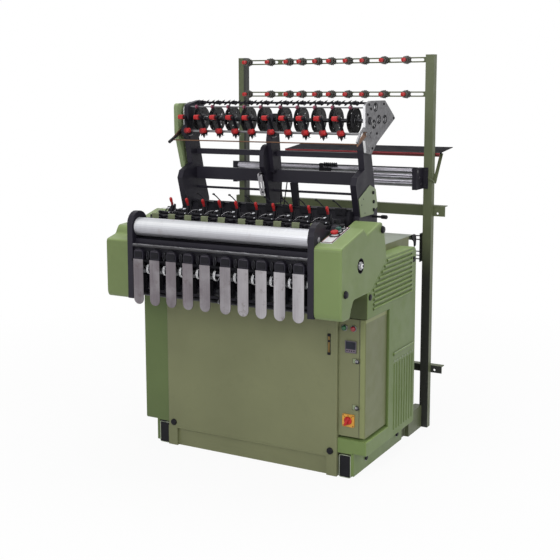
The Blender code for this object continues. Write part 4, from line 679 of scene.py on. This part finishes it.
def tensioners():
    part = Part("yarn_tensioners")
    part.bar(ROD, TENSION, -0.5117, 0.5233, 0.006, 16)
    upper = (0.148, 1.672)
    y, z = TENSION
    arm = [(y + 0.009, z - 0.006), (y - 0.008, z - 0.01), (0.154, 1.662), (0.154, 1.68), (0.166, 1.68),
           (y + 0.009, z + 0.01)]
    cap = [(-0.056, 0.0085), (-0.0545, 0.0112), (-0.04, 0.0122), (-0.028, 0.0122)]
    dome = [(y - 0.03, 0.008), (y - 0.029, 0.0125), (y - 0.025, 0.0148), (y - 0.012, 0.0155), (y - 0.006, 0.012)]
    fork = [(-0.047, -0.002), (-0.006, -0.004), (-0.01, -0.022), (-0.018, -0.014), (-0.027, -0.035), (-0.037, -0.018),
            (-0.043, -0.026)]
    hook = [(-0.024, y - 0.012, z - 0.016), (-0.016, y - 0.022, z - 0.024), (-0.006, y - 0.02, z - 0.022),
            (0.0, y - 0.01, z - 0.018)]
    for _ in part.each(HEADS):
        part.prism(JET, arm, -0.026, -0.022)
        part.turned(RED, upper, cap, 20)
        part.bar(DEEP_RED, upper, -0.028, -0.025, 0.0126, 20)
        part.turned(JET, upper, [(-0.025, 0.008), (-0.014, 0.007)], 16)
        part.turned(DEEP_RED, (-0.03, z + 0.002), dome, axis="y")
        part.turned(RED, (y - 0.02, z + 0.003), [(-0.028, 0.012), (-0.014, 0.013), (-0.011, 0.01)], 20)
        part.hoop(JET, (-0.03, z + 0.002), y - 0.01, 0.0158, 0.0022, 24, 6, axis="y")
        part.prism(JET, [(a, z + b) for a, b in fork], y - 0.01, y - 0.006, axis="y")
        part.bar(JET, TENSION, -0.04, -0.018, 0.01, 12)
        part.tube(ROD, hook, 0.0011, 6)
    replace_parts(part.done(), "tension_bar")


def rods_above():
    part = Part("guide_blades")
    for _ in part.each(HEADS):
        part.turned(MAUVE, (0.232, 1.722), [(-0.009, 0.006), (-0.006, 0.0092), (0.004, 0.0092), (0.007, 0.006)], 16)
        part.hoop(JET, (0.232, 1.722), 0.0055, 0.0095, 0.0018, 16, 6)
        for start, lean in ((-0.058, 0.02), (-0.03, 0.016), (0.004, 0.018)):
            blade = [(start, 1.73), (start + 0.006, 1.729), (start + lean + 0.012, 1.746), (start + lean + 0.02, 1.757),
                     (start + lean + 0.006, 1.751), (start + 0.004, 1.74)]
            part.prism(JET, blade, 0.2855, 0.2885, axis="y")
        part.turned(JET, (0.3, 1.742), [(-0.02, 0.0085), (-0.012, 0.0095), (0.002, 0.0095), (0.01, 0.0085)], 14)
    part.done(0.0004)


def feeder_fittings():
    part = Part("feeder_bolts")
    for y, z in ((0.566, 1.665), (0.438, 1.736), (0.262, 1.736), (0.284, 1.716), (0.356, 1.598), (0.246, 1.69),
                 (0.305, 1.53)):
        part.turned(JET, (y, z), [(0.5083, 0.0062), (0.5115, 0.006), (0.5128, 0.004)], 12)
    for y, z in ((0.338, 1.723), (0.32, 1.643), (0.379, 1.664), (0.452, 1.662)):
        part.hoop(JET, (y, z), 0.508, 0.02, 0.0026, 28, 6)
        part.hoop(JET, (y, z), 0.5015, 0.0166, 0.0022, 28, 6)
    part.turned(DARK, FEED, [(0.5083, 0.019), (0.5125, 0.019), (0.5145, 0.014)])
    part.bar(ROD, FEED, 0.5145, 0.5175, 0.008, 6)
    part.done()
    bail = Part("bail_bracket", "stop_bail_body")
    band = [(0.112, 1.56), (0.098, 1.57), (0.132, 1.606), (0.154, 1.621), (0.204, 1.624), (0.238, 1.608),
            (0.266, 1.584), (0.26, 1.58), (0.232, 1.6), (0.202, 1.613), (0.158, 1.612), (0.14, 1.6)]
    bail.prism(CAST, band, 0.5195, 0.5225)
    bail.prism(CAST, band[:6] + band[9:], 0.5145, 0.5195)
    for radius, path in ((0.0035, ((0.219, 1.606), (0.18, 1.59), (0.15, 1.574))),
                         (0.008, ((0.156, 1.577), (0.15, 1.574), (0.098, 1.551), (0.092, 1.548)))):
        bail.tube(JET, [(-0.5045, y, z) for y, z in path], radius, 12)
    bail.done(0.0005)


# Rear yarn frame

def yarn_clamps():
    for z, word in ((1.954, "upper"), (1.778, "lower")):
        part = Part(f"yarn_clamps_{word}")
        left, right, y0, y1 = -0.5197, 0.5487, 0.899, 0.905
        slots = []
        step = (right - left) / 10
        for k in range(0, 10, 2):
            a, b = left + step * k + 0.012, left + step * (k + 2) - 0.012
            slots.append(arc((b - 0.007, 0.0), 0.007, -90, 90, 6) + arc((a + 0.007, 0.0), 0.007, 90, 270, 6))
        outline = [(left, -0.014), (right, -0.014), (right, 0.014), (left, 0.014)]
        flat = Matrix.Translation((0.0, (y0 + y1) / 2, z)) @ Matrix.Rotation(radians(90), 4, "X")
        part.stamp(POST, pierced(outline, slots, 0.006), flat)
        for _ in part.each(YARN_CLAMP_XS):
            centre = (0.0, z)
            cap = [(y0 - 0.076, 0.0075), (y0 - 0.075, 0.01), (y0 - 0.06, 0.011), (y0 - 0.055, 0.01),
                   (y0 - 0.053, 0.008)]
            part.turned(RED, centre, cap, 18, axis="y")
            part.bar(DARK, centre, y0 - 0.052, y1 + 0.01, 0.006, 12, axis="y")
            for near, radius in ((y0 - 0.048, 0.0195), (y0 - 0.03, 0.022), (y0 - 0.012, 0.0225)):
                teeth = [(radius if i % 2 else radius * 0.8, i * pi / 11) for i in range(22)]
                toothed = [(reach * cos(a), z + reach * sin(a)) for reach, a in teeth]
                part.prism(CLAMP, toothed, near, near + 0.006, axis="y")
                part.turned(DARK, centre, [(near + 0.005, 0.015), (near + 0.01, 0.008)], 16, axis="y")
            part.bar(DARK, centre, y1, y1 + 0.006, 0.013, 6, axis="y")
        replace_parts(part.done(), f"yarn_bar_{word}")


def rear_fittings():
    part = Part("rear_fittings")
    for x in (-0.561, 0.563):
        for z in (1.306, 1.388):
            part.bar(DARK, (x, z), 0.8787, 0.8742, 0.006, 6, axis="y")
    part.done()
    pack = Part("pack_guide")
    pack.bar(DARK, (0.792, 1.404), -0.55, 0.552, 0.0036, 12)
    pack.box(JET, -0.004, 0.014, 0.78, 0.796, 1.372, 1.412)
    pack.box(JET, -0.004, 0.066, 0.778, 0.786, 1.366, 1.39)
    for _ in pack.each([0.02 + 0.0115 * k for k in range(7)]):
        pack.turned(JET, (0.79, 1.406), [(0.0, 0.004), (0.002, 0.0115), (0.005, 0.0115), (0.007, 0.004)], 10)
    pack.done(0.0006)
    tray = Part("tray_trim")
    for material, *span in ((RED_LINE, 0.9462, 0.95, 1.466, 1.4722), (MAROON, 0.947, 0.95, 1.453, 1.4655),
                            (DARK, 0.9462, 0.952, 1.4722, 1.4752)):
        tray.box(material, -0.3, 0.612, *span)
    stay = [(0.83, 1.348), (0.906, 1.321), (1.006, 1.468), (1.0085, 1.466), (0.907, 1.3165), (0.829, 1.3445)]
    tray.prism(POST, stay, 0.5955, 0.611)
    tray.done(0.0004)
    rim = Part("gear_cover_rim")
    edge = [(0.275, 1.747), (0.245, 1.741), (0.226, 1.731), (0.216, 1.718), (0.2132, 1.702), (0.2132, 1.63)]
    rim.tube(WHITE, [(-0.495, y, z) for y, z in edge], 0.0018)
    rim.done()
    toggle = Part("stand_handle")
    grip = [(0.4962, 0.0055), (0.54, 0.0055), (0.542, 0.0085), (0.544, 0.0095), (0.569, 0.01), (0.573, 0.006)]
    toggle.turned(JET, (0.345, 1.201), grip, 18)
    for y, z in ((0.334, 1.317), (0.34, 1.273), (0.343, 1.234)):
        toggle.turned(JET, (y, z), [(0.5013, 0.009), (0.507, 0.009), (0.5085, 0.006)], 6)
    for y, z in ((0.224, 1.296), (0.203, 1.27), (0.242, 1.228)):
        toggle.turned(JET, (y, z), [(0.5013, 0.0035), (0.5022, 0.003)], 10)
    toggle.done()


# Weaving heads

def lever_set():
    part = Part("lever_set")
    part.bar(DARK, (-0.014, 1.192), -0.4657, 0.4657, 0.007, 16)
    for _ in part.each(HEADS):
        grip = [(-0.013, 1.256), (-0.004, 1.257), (-0.007, 1.27), (-0.011, 1.28), (-0.017, 1.284), (-0.023, 1.281),
                (-0.024, 1.273), (-0.019, 1.264)]
        part.prism(RED, grip, -0.005, 0.005)
        part.prism(DEEP_RED, [(-0.009, 1.244), (0.0, 1.245), (-0.003, 1.258), (-0.013, 1.257)], -0.0052, 0.0052)
        stem = [(-0.02, 1.188), (-0.006, 1.186), (0.002, 1.244), (-0.01, 1.246)]
        part.prism(JET, stem, -0.005, 0.005)
        part.prism(JET, [(-0.004, 1.206), (0.01, 1.204), (0.014, 1.246), (0.006, 1.25)], 0.002, 0.011)
    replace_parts(part.done(0.0018), "clamp_levers")


def head_clutter():
    part = Part("head_fittings")
    for _ in part.each(HEADS):
        hook = [(-0.012, 0.168, 1.238), (-0.014, 0.176, 1.252), (-0.028, 0.18, 1.262), (-0.044, 0.18, 1.276),
                (-0.058, 0.18, 1.285)]
        part.tube(JET, hook, 0.003)
        part.turned(JET, (0.18, 1.286), [(-0.066, 0.003), (-0.063, 0.0048), (-0.057, 0.0048), (-0.053, 0.003)], 10)
        for block in ((-0.03, 0.022, 0.132, 0.15, 1.225, 1.258), (-0.022, 0.004, 0.128, 0.133, 1.246, 1.256),
                      (0.02, 0.036, -0.09, 0.06, 1.16, 1.204)):
            part.box(JET, *block)
        part.bar(JET, (-0.05, 1.21), -0.03, 0.03, 0.008, 14)
        part.bar(JET, (0.03, 1.209), -0.042, 0.03, 0.013, 14)
        pin = [(-0.04, 0.0022), (-0.0385, 0.0034), (-0.035, 0.0034), (-0.02, 0.0026)]
        part.turned(PORCELAIN, (-0.004, 1.232), pin, 12, axis="y")
        pin = [(-0.062, 0.0014), (-0.0608, 0.0022), (-0.058, 0.0022), (-0.05, 0.0018)]
        part.turned(PORCELAIN, (0.016, 1.214), pin, 12, axis="y")
        part.tube(JET, [(-0.004, -0.021, 1.232), (-0.003, -0.004, 1.226), (-0.001, 0.006, 1.205)], 0.0028)
        part.tube(JET, [(0.016, -0.052, 1.214), (0.014, -0.05, 1.206), (0.012, -0.048, 1.2)], 0.0022)
        sweep = [(-0.056 + 0.01 * i, -0.06 + 0.004 * i, 1.214 + 0.02 * sin(pi * i / 7)) for i in range(6)]
        part.tube(LINK, sweep, 0.0007, 6)
        part.tube(DARK, [(a + 0.004, b - 0.026, c - 0.012) for a, b, c in sweep], 0.0012, 6)
        part.box(JET, -0.045, -0.028, -0.13, -0.02, 1.15, 1.208)
        part.tube(JET, [(-0.036, -0.02, 1.206), (-0.034, 0.01, 1.232), (-0.024, 0.04, 1.228)], 0.0035)
        part.turned(JET, (-0.036, -0.06), [(1.2, 0.008), (1.218, 0.008), (1.221, 0.005)], 12, axis="z")
        part.turned(JET, (0.03, -0.02), [(1.2, 0.007), (1.226, 0.006), (1.229, 0.004)], 12, axis="z")
        part.box(JET, 0.036, 0.05, -0.156, -0.13, 1.142, 1.206)
        part.bar(JET, (0.043, 1.204), -0.156, -0.12, 0.007, 14, axis="y")
        clip = [(-0.1642, 1.19), (-0.1642, 1.196), (-0.1652, 1.198), (-0.1652, 1.22), (-0.156, 1.2212),
                (-0.156, 1.2195), (-0.163, 1.218), (-0.163, 1.19)]
        part.prism(REED, clip, -0.01, 0.028)
    part.box(JET, -0.465, 0.465, 0.158, 0.17, 1.24, 1.25)
    part.tube(JET, [(-0.465, -0.085, 1.202), (0.465, -0.085, 1.202)], 0.005, 12)
    part.done(0.001)


def front_fittings():
    part = Part("front_fittings")
    for _ in part.each(HEADS):
        for along in (-0.0372, -0.031, 0.0372, 0.031):
            # Pale rings at the ends of the press rollers: painted highlights where the rollers show between the guards.
            part.hoop(SHINE_WHITE, (-0.25, 0.965), along, 0.0248, 0.0022)
        part.box(JET, -0.02, 0.02, -0.2998, -0.2965, 1.024, 1.05)
        # A thin grey strip along the top edge of each black block: a painted highlight.
        part.box(SILVER, -0.02, 0.02, -0.2992, -0.2965, 1.0555, 1.0572)
        # Sleeves on the guide rod above each block carry its painted top highlight.
        sleeve = [(-0.014, 0.0081), (-0.012, 0.0085), (0.012, 0.0085), (0.014, 0.0081)]
        part.turned(HIGHLIGHT_ROD, (-0.282, 1.079), sleeve, 20)
        loop = [(0.0465 + 0.007 * cos(a), -0.285, 1.034 + 0.02 * sin(a)) for a in [pi * k / 12 for k in range(24)]]
        part.tube(DARK, loop, 0.0016, 6, True)
        part.bar(JET, (-0.258, 0.985), 0.0405, 0.0525, 0.005, 12)
        part.box(JET, 0.0435, 0.0495, -0.284, -0.24, 0.99, 1.054)
        part.box(JET, -0.02, 0.02, -0.262, -0.225, 0.868, 0.94)
    part.bar(JET, (-0.235, 0.885), -BED_HALF, BED_HALF, 0.021)
    part.bar(DARK, (-0.24, 0.84), -BED_HALF, BED_HALF, 0.01, 16)
    for _ in part.each(HEADS):
        part.bar(DARK, (-0.235, 0.885), 0.035, 0.048, 0.024)
        part.bar(ROD, (-0.24, 0.84), 0.038, 0.044, 0.012, 16)
    part.box(JET, -BED_HALF, BED_HALF, -0.276, -0.262, 1.052, 1.064)
    part.done(0.0012)


def knob(part, side, y, z, face, radius=0.0165, height=1.0):
    """Black socket-head screw on the outer face of a cover."""
    profile = [(0.0, radius), (0.006, radius), (0.0105, radius - 0.003), (0.0115, radius - 0.007)]
    part.turned(JET, (y, z), [(side * (face + along * height), r) for along, r in profile])
    part.hoop(JET, (y, z), side * (face + 0.003 * height), radius, 0.0014 * height, 24, 6)


def cover_fittings():
    part = Part("cover_screws")
    for y, z in ((-0.246, 0.934), (0.156, 1.168)):
        knob(part, 1, y, z, 0.6262)
    for side in (-1, 1):
        for y, z in ((0.038, 0.871), (0.583, 0.967)):
            knob(part, side, y, z, 0.6202, 0.0145, 0.5)
        for y in (0.156, 0.544):
            part.turned(JET, (y, 0.063), [(side * 0.5562, 0.013), (side * 0.562, 0.012), (side * 0.565, 0.008)], 20)
            part.bar(ROD, (y, 0.063), side * 0.5562, side * 0.5575, 0.016, 20)
    # A pale tube along the top of each waist ridge: a painted highlight.
    for side in (-1, 1):
        part.tube(RIM_AND_HIGHLIGHT, [(side * 0.6248, y, z) for y, z in ((0.334, 0.544), (0.46, 0.5442), (0.586, 0.544))], 0.0012)
    # Pale dots along the ribs' tops: painted highlights.
    for k in range(8):
        y = 0.345 + 0.235 / 7 * k
        for side in (-1, 1):
            rib_top_highlight = [(side * 0.6195, 0.0042), (side * 0.6225, 0.0038), (side * 0.6235, 0.002)]
            part.turned(DECK, (y, 0.5005), rib_top_highlight, 12)
    part.done()
    ends = Part("skid_plugs")
    for side in (-1, 1):
        for y, toward in ((0.018, -1.0), (0.7, 1.0)):
            x0, x1 = sorted((side * 0.4855, side * 0.5345))
            inset = 0.003 if toward < 0 else 0.0
            low, high, corner = 0.0055, 0.1075, 0.006
            middles = [(x1 - corner, high - corner), (x0 + corner, high - corner), (x0 + corner, low + corner),
                       (x1 - corner, low + corner)]
            outline = [point for k, middle in enumerate(middles)
                       for point in arc(middle, corner, 90 * k, 90 * k + 90, 4)]
            ends.prism(JET, outline, y + inset, y + toward * 0.002, axis="y")
            grown = [(x0 - 0.0045 + (a - x0) * (x1 - x0 + 0.009) / (x1 - x0),
                      0.0022 + (b - low) * 0.1075 / (high - low)) for a, b in outline]
            ends.tube(RIM_AND_HIGHLIGHT, [(a, y + toward * 0.0008, b) for a, b in grown], 0.0018, 6, True)
    for x in (-0.441, 0.441):
        ends.turned(JET, (x, 0.125), [(0.0, 0.0165), (-0.005, 0.0165), (-0.009, 0.013), (-0.01, 0.006)], axis="y")
    ends.box(JET, -0.53, -0.5, 0.012, 0.02, 0.1125, 0.12)
    ends.done(0.0006)


def control_fittings():
    part = Part("control_fittings")
    front = 0.0175
    for x, lens in ((0.504, GREEN_LENS), (0.55, RED_LENS)):
        part.turned(ROD, (x, 0.722), [(front, 0.0155), (front - 0.005, 0.0155), (front - 0.0062, 0.014)], 28, axis="y")
        dome = [(front - 0.01, 0.0118), (front - 0.013, 0.0112), (front - 0.0155, 0.0085), (front - 0.0165, 0.004)]
        part.turned(lens, (x, 0.722), dome, axis="y")
        part.turned(JET, (x, 0.722), [(front - 0.005, 0.0128), (front - 0.0104, 0.0126)], axis="y")
    mx, mz, face = 0.5385, 0.6355, front - 0.0062
    part.box(SILVER, mx - 0.0285, mx + 0.0285, face - 0.0022, face, mz - 0.0285, mz + 0.0285)
    part.box(GLASS, mx - 0.024, mx + 0.024, face - 0.003, face - 0.0022, mz - 0.01, mz + 0.0245)
    part.box(MAUVE_GREY, mx - 0.024, mx + 0.024, face - 0.0028, face - 0.0022, mz - 0.0255, mz - 0.012)
    for k in range(4):
        part.box(GLASS, mx - 0.0205 + 0.0115 * k, mx - 0.0145 + 0.0115 * k, face - 0.004, face - 0.0028, mz - 0.0215,
                 mz - 0.0155)
    for z in (0.349, 0.57):
        frame_line = [(0.546, z - 0.012), (0.566, z - 0.012), (0.566, z + 0.012), (0.546, z + 0.012)]
        part.tube(DARK, [(a, front - 0.0004, b) for a, b in frame_line], 0.0007, 6, True)
        part.box(PLATE_GREEN, 0.548, 0.564, front - 0.0012, front, z - 0.0095, z + 0.0095)
        part.turned(DARK, (0.572, z), [(front - 0.009, 0.0112), (front - 0.011, 0.0106), (front - 0.012, 0.0084)],
                    axis="y")
        part.turned(LINK, (0.5705, z + 0.001), [(front - 0.012, 0.006), (front - 0.0132, 0.0052)], 16, axis="y")
        part.box(JET, 0.5708, 0.5732, front - 0.014, front - 0.012, z - 0.0066, z + 0.0066)
    part.box(JET, 0.579, 0.5806, front - 0.0006, front + 0.0002, 0.206, 0.764)
    yellow = front - 0.0003 - 0.007
    turn_x, turn_z = 0.528, 0.283
    for dx in (-0.025, 0.025):
        for dz in (-0.025, 0.025):
            part.turned(DARK, (turn_x + dx, turn_z + dz), [(yellow, 0.003), (yellow - 0.0012, 0.0026)], 10, axis="y")
    for angle in (90, 45, 135):
        a = radians(angle)
        x, z = turn_x + 0.0245 * cos(a), turn_z + 0.0245 * sin(a)
        part.box(JET, x - 0.0012, x + 0.0012, yellow - 0.0006, yellow, z - 0.0024, z + 0.0024)
    part.done(0.0005)
    grip = Part("isolator_grip", "isolator_knob_body")
    seat = yellow - 0.0005
    base = [(seat, 0.0195), (seat - 0.004, 0.0195), (seat - 0.007, 0.0165), (seat - 0.009, 0.015)]
    grip.turned(RED, (turn_x, turn_z), base, 32, axis="y")
    bar = [(-0.0205, -0.005), (0.0205, -0.005), (0.0225, 0.0), (0.0205, 0.005), (-0.0205, 0.005), (-0.0225, 0.0)]
    lean = radians(62)
    turned = [(turn_x + a * cos(lean) - b * sin(lean), turn_z + a * sin(lean) + b * cos(lean)) for a, b in bar]
    grip.prism(RED, turned, seat - 0.0215, seat - 0.006, axis="y")
    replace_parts(grip.done(0.0016), "isolator_knob")
    gauge = Part("slot_gauge")
    gauge.box(OLIVE, 0.4251, 0.4349, 0.0, 0.0058, 0.6402, 0.7298)
    x = 0.4338
    gauge.box(JET, x - 0.0075, x + 0.0075, -0.001, 0.0, 0.588, 0.69)
    gauge.bar(BRASS, (x, -0.0012), 0.6, 0.678, 0.0052, 14, axis="z")
    for low, high in ((0.59, 0.601), (0.677, 0.688)):
        cap = [(low, 0.0072), (low + 0.001, 0.0082), (high - 0.001, 0.0082), (high, 0.0072)]
        gauge.turned(JET, (x, -0.0012), cap, 14, axis="z")
    gauge.bar(JET, (x, -0.0012), 0.65, 0.66, 0.0066, 14, axis="z")
    gauge.done(0.0004)


def crank_fittings():
    part = Part("crank_hub", "crank_shaft_body")
    centre = (-0.083, 1.035)
    for material, segments, profile in ((DARK, 32, [(0.503, 0.024), (0.606, 0.024), (0.611, 0.022)]),
            (ROD, 32, [(0.611, 0.0205), (0.626, 0.0205), (0.629, 0.0185)]),
            (SHINE_WHITE, 6, [(0.629, 0.012), (0.635, 0.012), (0.637, 0.01)]), (DARK, 20,
            [(0.637, 0.006), (0.6395, 0.006), (0.64, 0.0045)])):
        part.turned(material, centre, profile, segments)
    part.done(0.0008)
    # Black hoops lining the crank opening in the right head cover: painted shade inside the hole.
    rim = Part("crank_hole_shade")
    rim.hoop(JET, centre, 0.624, 0.0338, 0.0022, 40)
    for along in (0.6205, 0.617, 0.6135, 0.61, 0.6065, 0.603, 0.5995):
        rim.hoop(JET, centre, along, 0.0338, 0.002, 40)
    rim.done()


def head_shell():
    """Left head cover, lower in front than the right one, with a raised rear part."""
    part = Part("left_head_shell")
    corners = [(-0.287, 0.816, 0.03), (-0.287, 1.099, 0.012), (-0.215, 1.116, 0.008), (-0.203, 1.138, 0.01),
               (-0.188, 1.156, 0.016), (-0.11, 1.16, 0.02), (-0.012, 1.165, 0.004), (0.133, 1.202, 0.012),
               (0.158, 1.202, 0.012), (0.19, 1.148, 0.02), (0.22, 1.026, 0.012), (0.031, 0.896, 0.03),
               (-0.151, 0.892, 0.02), (-0.177, 0.855, 0.01), (-0.192, 0.816, 0.01)]
    outer = rounded(corners)
    inner = rounded([(y + (0.006 if y < 0 else -0.006), z + (0.006 if z < 0.95 else -0.006), r) for y, z, r in corners])
    face = -0.626
    middle = [(a + (c - a) * 0.35, b + (d - b) * 0.35) for (a, b), (c, d) in zip(inner, outer)]
    part.shell(SHADED_LEFT_GREEN, (face, inner), (face + 0.002, middle), (face + 0.006, outer), (-0.4963, outer))
    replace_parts(part.done(0.0, 30.0), "head_cover_left")


def gear_shell():
    """Green cover beside the feeder's gearbox, with its outer side where the photo has it."""
    part = Part("gear_cover_shell")
    corners = [(0.184, 1.739, 0.02), (0.35, 1.739, 0.03), (0.33, 1.56, 0.004), (0.32, 1.405, 0.01),
               (0.245, 1.405, 0.01), (0.186, 1.589, 0.004)]
    outer = rounded(corners)
    inner = [(0.268 + (y - 0.268) * 0.96, 1.6 + (z - 1.6) * 0.98) for y, z in outer]
    part.shell(GEAR_GREEN, (-0.539, inner), (-0.536, outer), (-0.5135, outer))
    # The inner side face gets a paler green: painted light, as if lit from the front.
    part.prism(LIT_GEAR_SIDE, inner, -0.514, -0.5122)
    part.box(BLACK, -0.514, -0.4964, 0.26, 0.31, 1.46, 1.71)
    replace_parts(part.done(0.0, 30.0), "gearbox_cover")


def rounded(corners, steps=4):
    """Closed outline with each corner (a, b, radius) rounded off."""
    points = []
    count = len(corners)
    for k, (a, b, radius) in enumerate(corners):
        here = Vector((a, b))
        before = Vector(corners[k - 1][:2]) - here
        after = Vector(corners[(k + 1) % count][:2]) - here
        reach = min(radius, before.length * 0.48, after.length * 0.48)
        first, last = here + before.normalized() * reach, here + after.normalized() * reach
        for i in range(steps + 1):
            t = i / steps
            points.append(tuple(first * (1 - t) ** 2 + here * 2 * t * (1 - t) + last * t ** 2))
    return points


def deck_lid():
    part = Part("deck_lid")
    lid = [(0.3015, 1.0603), (0.7605, 1.0603), (0.7605, 1.034), (0.763, 1.034), (0.763, 1.0605), (0.761, 1.0625),
           (0.3015, 1.0625)]
    part.prism(DECK, lid, -0.545, 0.545)
    claw = rounded([(0.728, 1.063, 0.004), (0.772, 1.065, 0.01), (0.792, 1.05, 0.012), (0.788, 1.005, 0.006),
                    (0.772, 0.996, 0.006), (0.766, 1.025, 0.006), (0.74, 1.04, 0.006)])
    part.prism(JET, claw, 0.5452, 0.552)
    part.done(0.0006)


def slotted_link():
    """Slotted steel link in front of the centre stand, bolted to it."""
    part = Part("slotted_link")
    outline = arc((0.0, 0.048), 0.0125, 0, 180) + arc((0.0, -0.048), 0.0125, 180, 360)
    slot = arc((0.0, 0.012), 0.003, 0, 180, 8) + arc((0.0, -0.046), 0.003, 180, 360, 8)
    tilt = Matrix.Translation((-0.0445, 0.214, 1.343)) @ Matrix.Rotation(radians(106.3), 4, "X")
    part.stamp(LINK, pierced(outline, [slot, ring_of((0.0, 0.047), 0.004, 16)], 0.004), tilt)
    part.bar(DARK, (-0.0395, 1.3975), 0.193, 0.219, 0.006, 6, axis="y")
    part.bar(DARK, (-0.0395, 1.305), 0.218, 0.247, 0.006, 6, axis="y")
    part.done()


def button_trim():
    """Thin red and black lines round the button plate on the slope of the right head cover."""
    part = Part("button_trim")
    along, out = Vector((0.0, 0.97177, 0.23583)), Vector((0.0, -0.23583, 0.97177))
    foot = Vector((0.531, -0.287, 1.138)) + out * 0.0046
    for material, inset, radius in ((JET, 0.0012, 0.001), (RED_LINE, 0.004, 0.0008)):
        ends = (0.05 + inset, 0.244 - inset)
        half = 0.0275 - inset
        corners = ((ends[0], -1), (ends[0], 1), (ends[1], 1), (ends[1], -1))
        loop = [foot + along * a + Vector((side * half, 0.0, 0.0)) for a, side in corners]
        part.tube(material, loop, radius, 6, True)
    for height, radii in ((0.139, (0.02, 0.0232)), (0.184, (0.0146, 0.0176)), (0.221, (0.0146, 0.0176))):
        for radius in radii:
            seat = foot + along * height + out * 0.001
            collar = [seat + along * radius * sin(a) + Vector((radius * cos(a), 0.0, 0.0))
                      for a in [tau * k / 32 for k in range(32)]]
            part.tube(JET, collar, 0.0021, 8, True)
    part.done()


MAUVE = moulded("mauve_sleeve", (0.23, 0.045, 0.085), 0.4)
WHEEL = moulded("wheel_metal", (0.015, 0.015, 0.017), 0.4, 0.3, 0.6, 90.0, 0.22)
CLAMP = moulded("clamp_metal", (0.06, 0.058, 0.048), 0.4, 0.4, 0.75, 120.0)
PORCELAIN = moulded("porcelain", (0.74, 0.76, 0.8), 0.2, 0.1, 0.06)
RED_LINE = moulded("red_edge", (0.36, 0.045, 0.055), 0.45)
# A pale colour, real on the skid plugs' rims and a painted highlight on the waist ridges.
RIM_AND_HIGHLIGHT = moulded("pale_rim", (0.36, 0.4, 0.31), 0.5, 0.3, 0.2)
GREEN_LENS = moulded("green_lens", (0.012, 0.085, 0.03), 0.14, 0.05, 0.2)
RED_LENS = moulded("red_lens", (0.25, 0.02, 0.026), 0.2, 0.05, 0.15)
GLASS = moulded("meter_glass", (0.016, 0.018, 0.026), 0.3, 0.02, 0.2, gloss=0.15)
SILVER = moulded("meter_frame", (0.06, 0.052, 0.068), 0.4)
LINK = moulded("link_steel", (0.44, 0.43, 0.45), 0.35, 0.2, 0.25)
MAUVE_GREY = moulded("meter_keys", (0.135, 0.1, 0.13), 0.4)

feed_wheels()
tensioners()
rods_above()
feeder_fittings()
yarn_clamps()
rear_fittings()
lever_set()
head_clutter()
front_fittings()
cover_fittings()
control_fittings()
crank_fittings()
head_shell()
gear_shell()
deck_lid()
slotted_link()
button_trim()
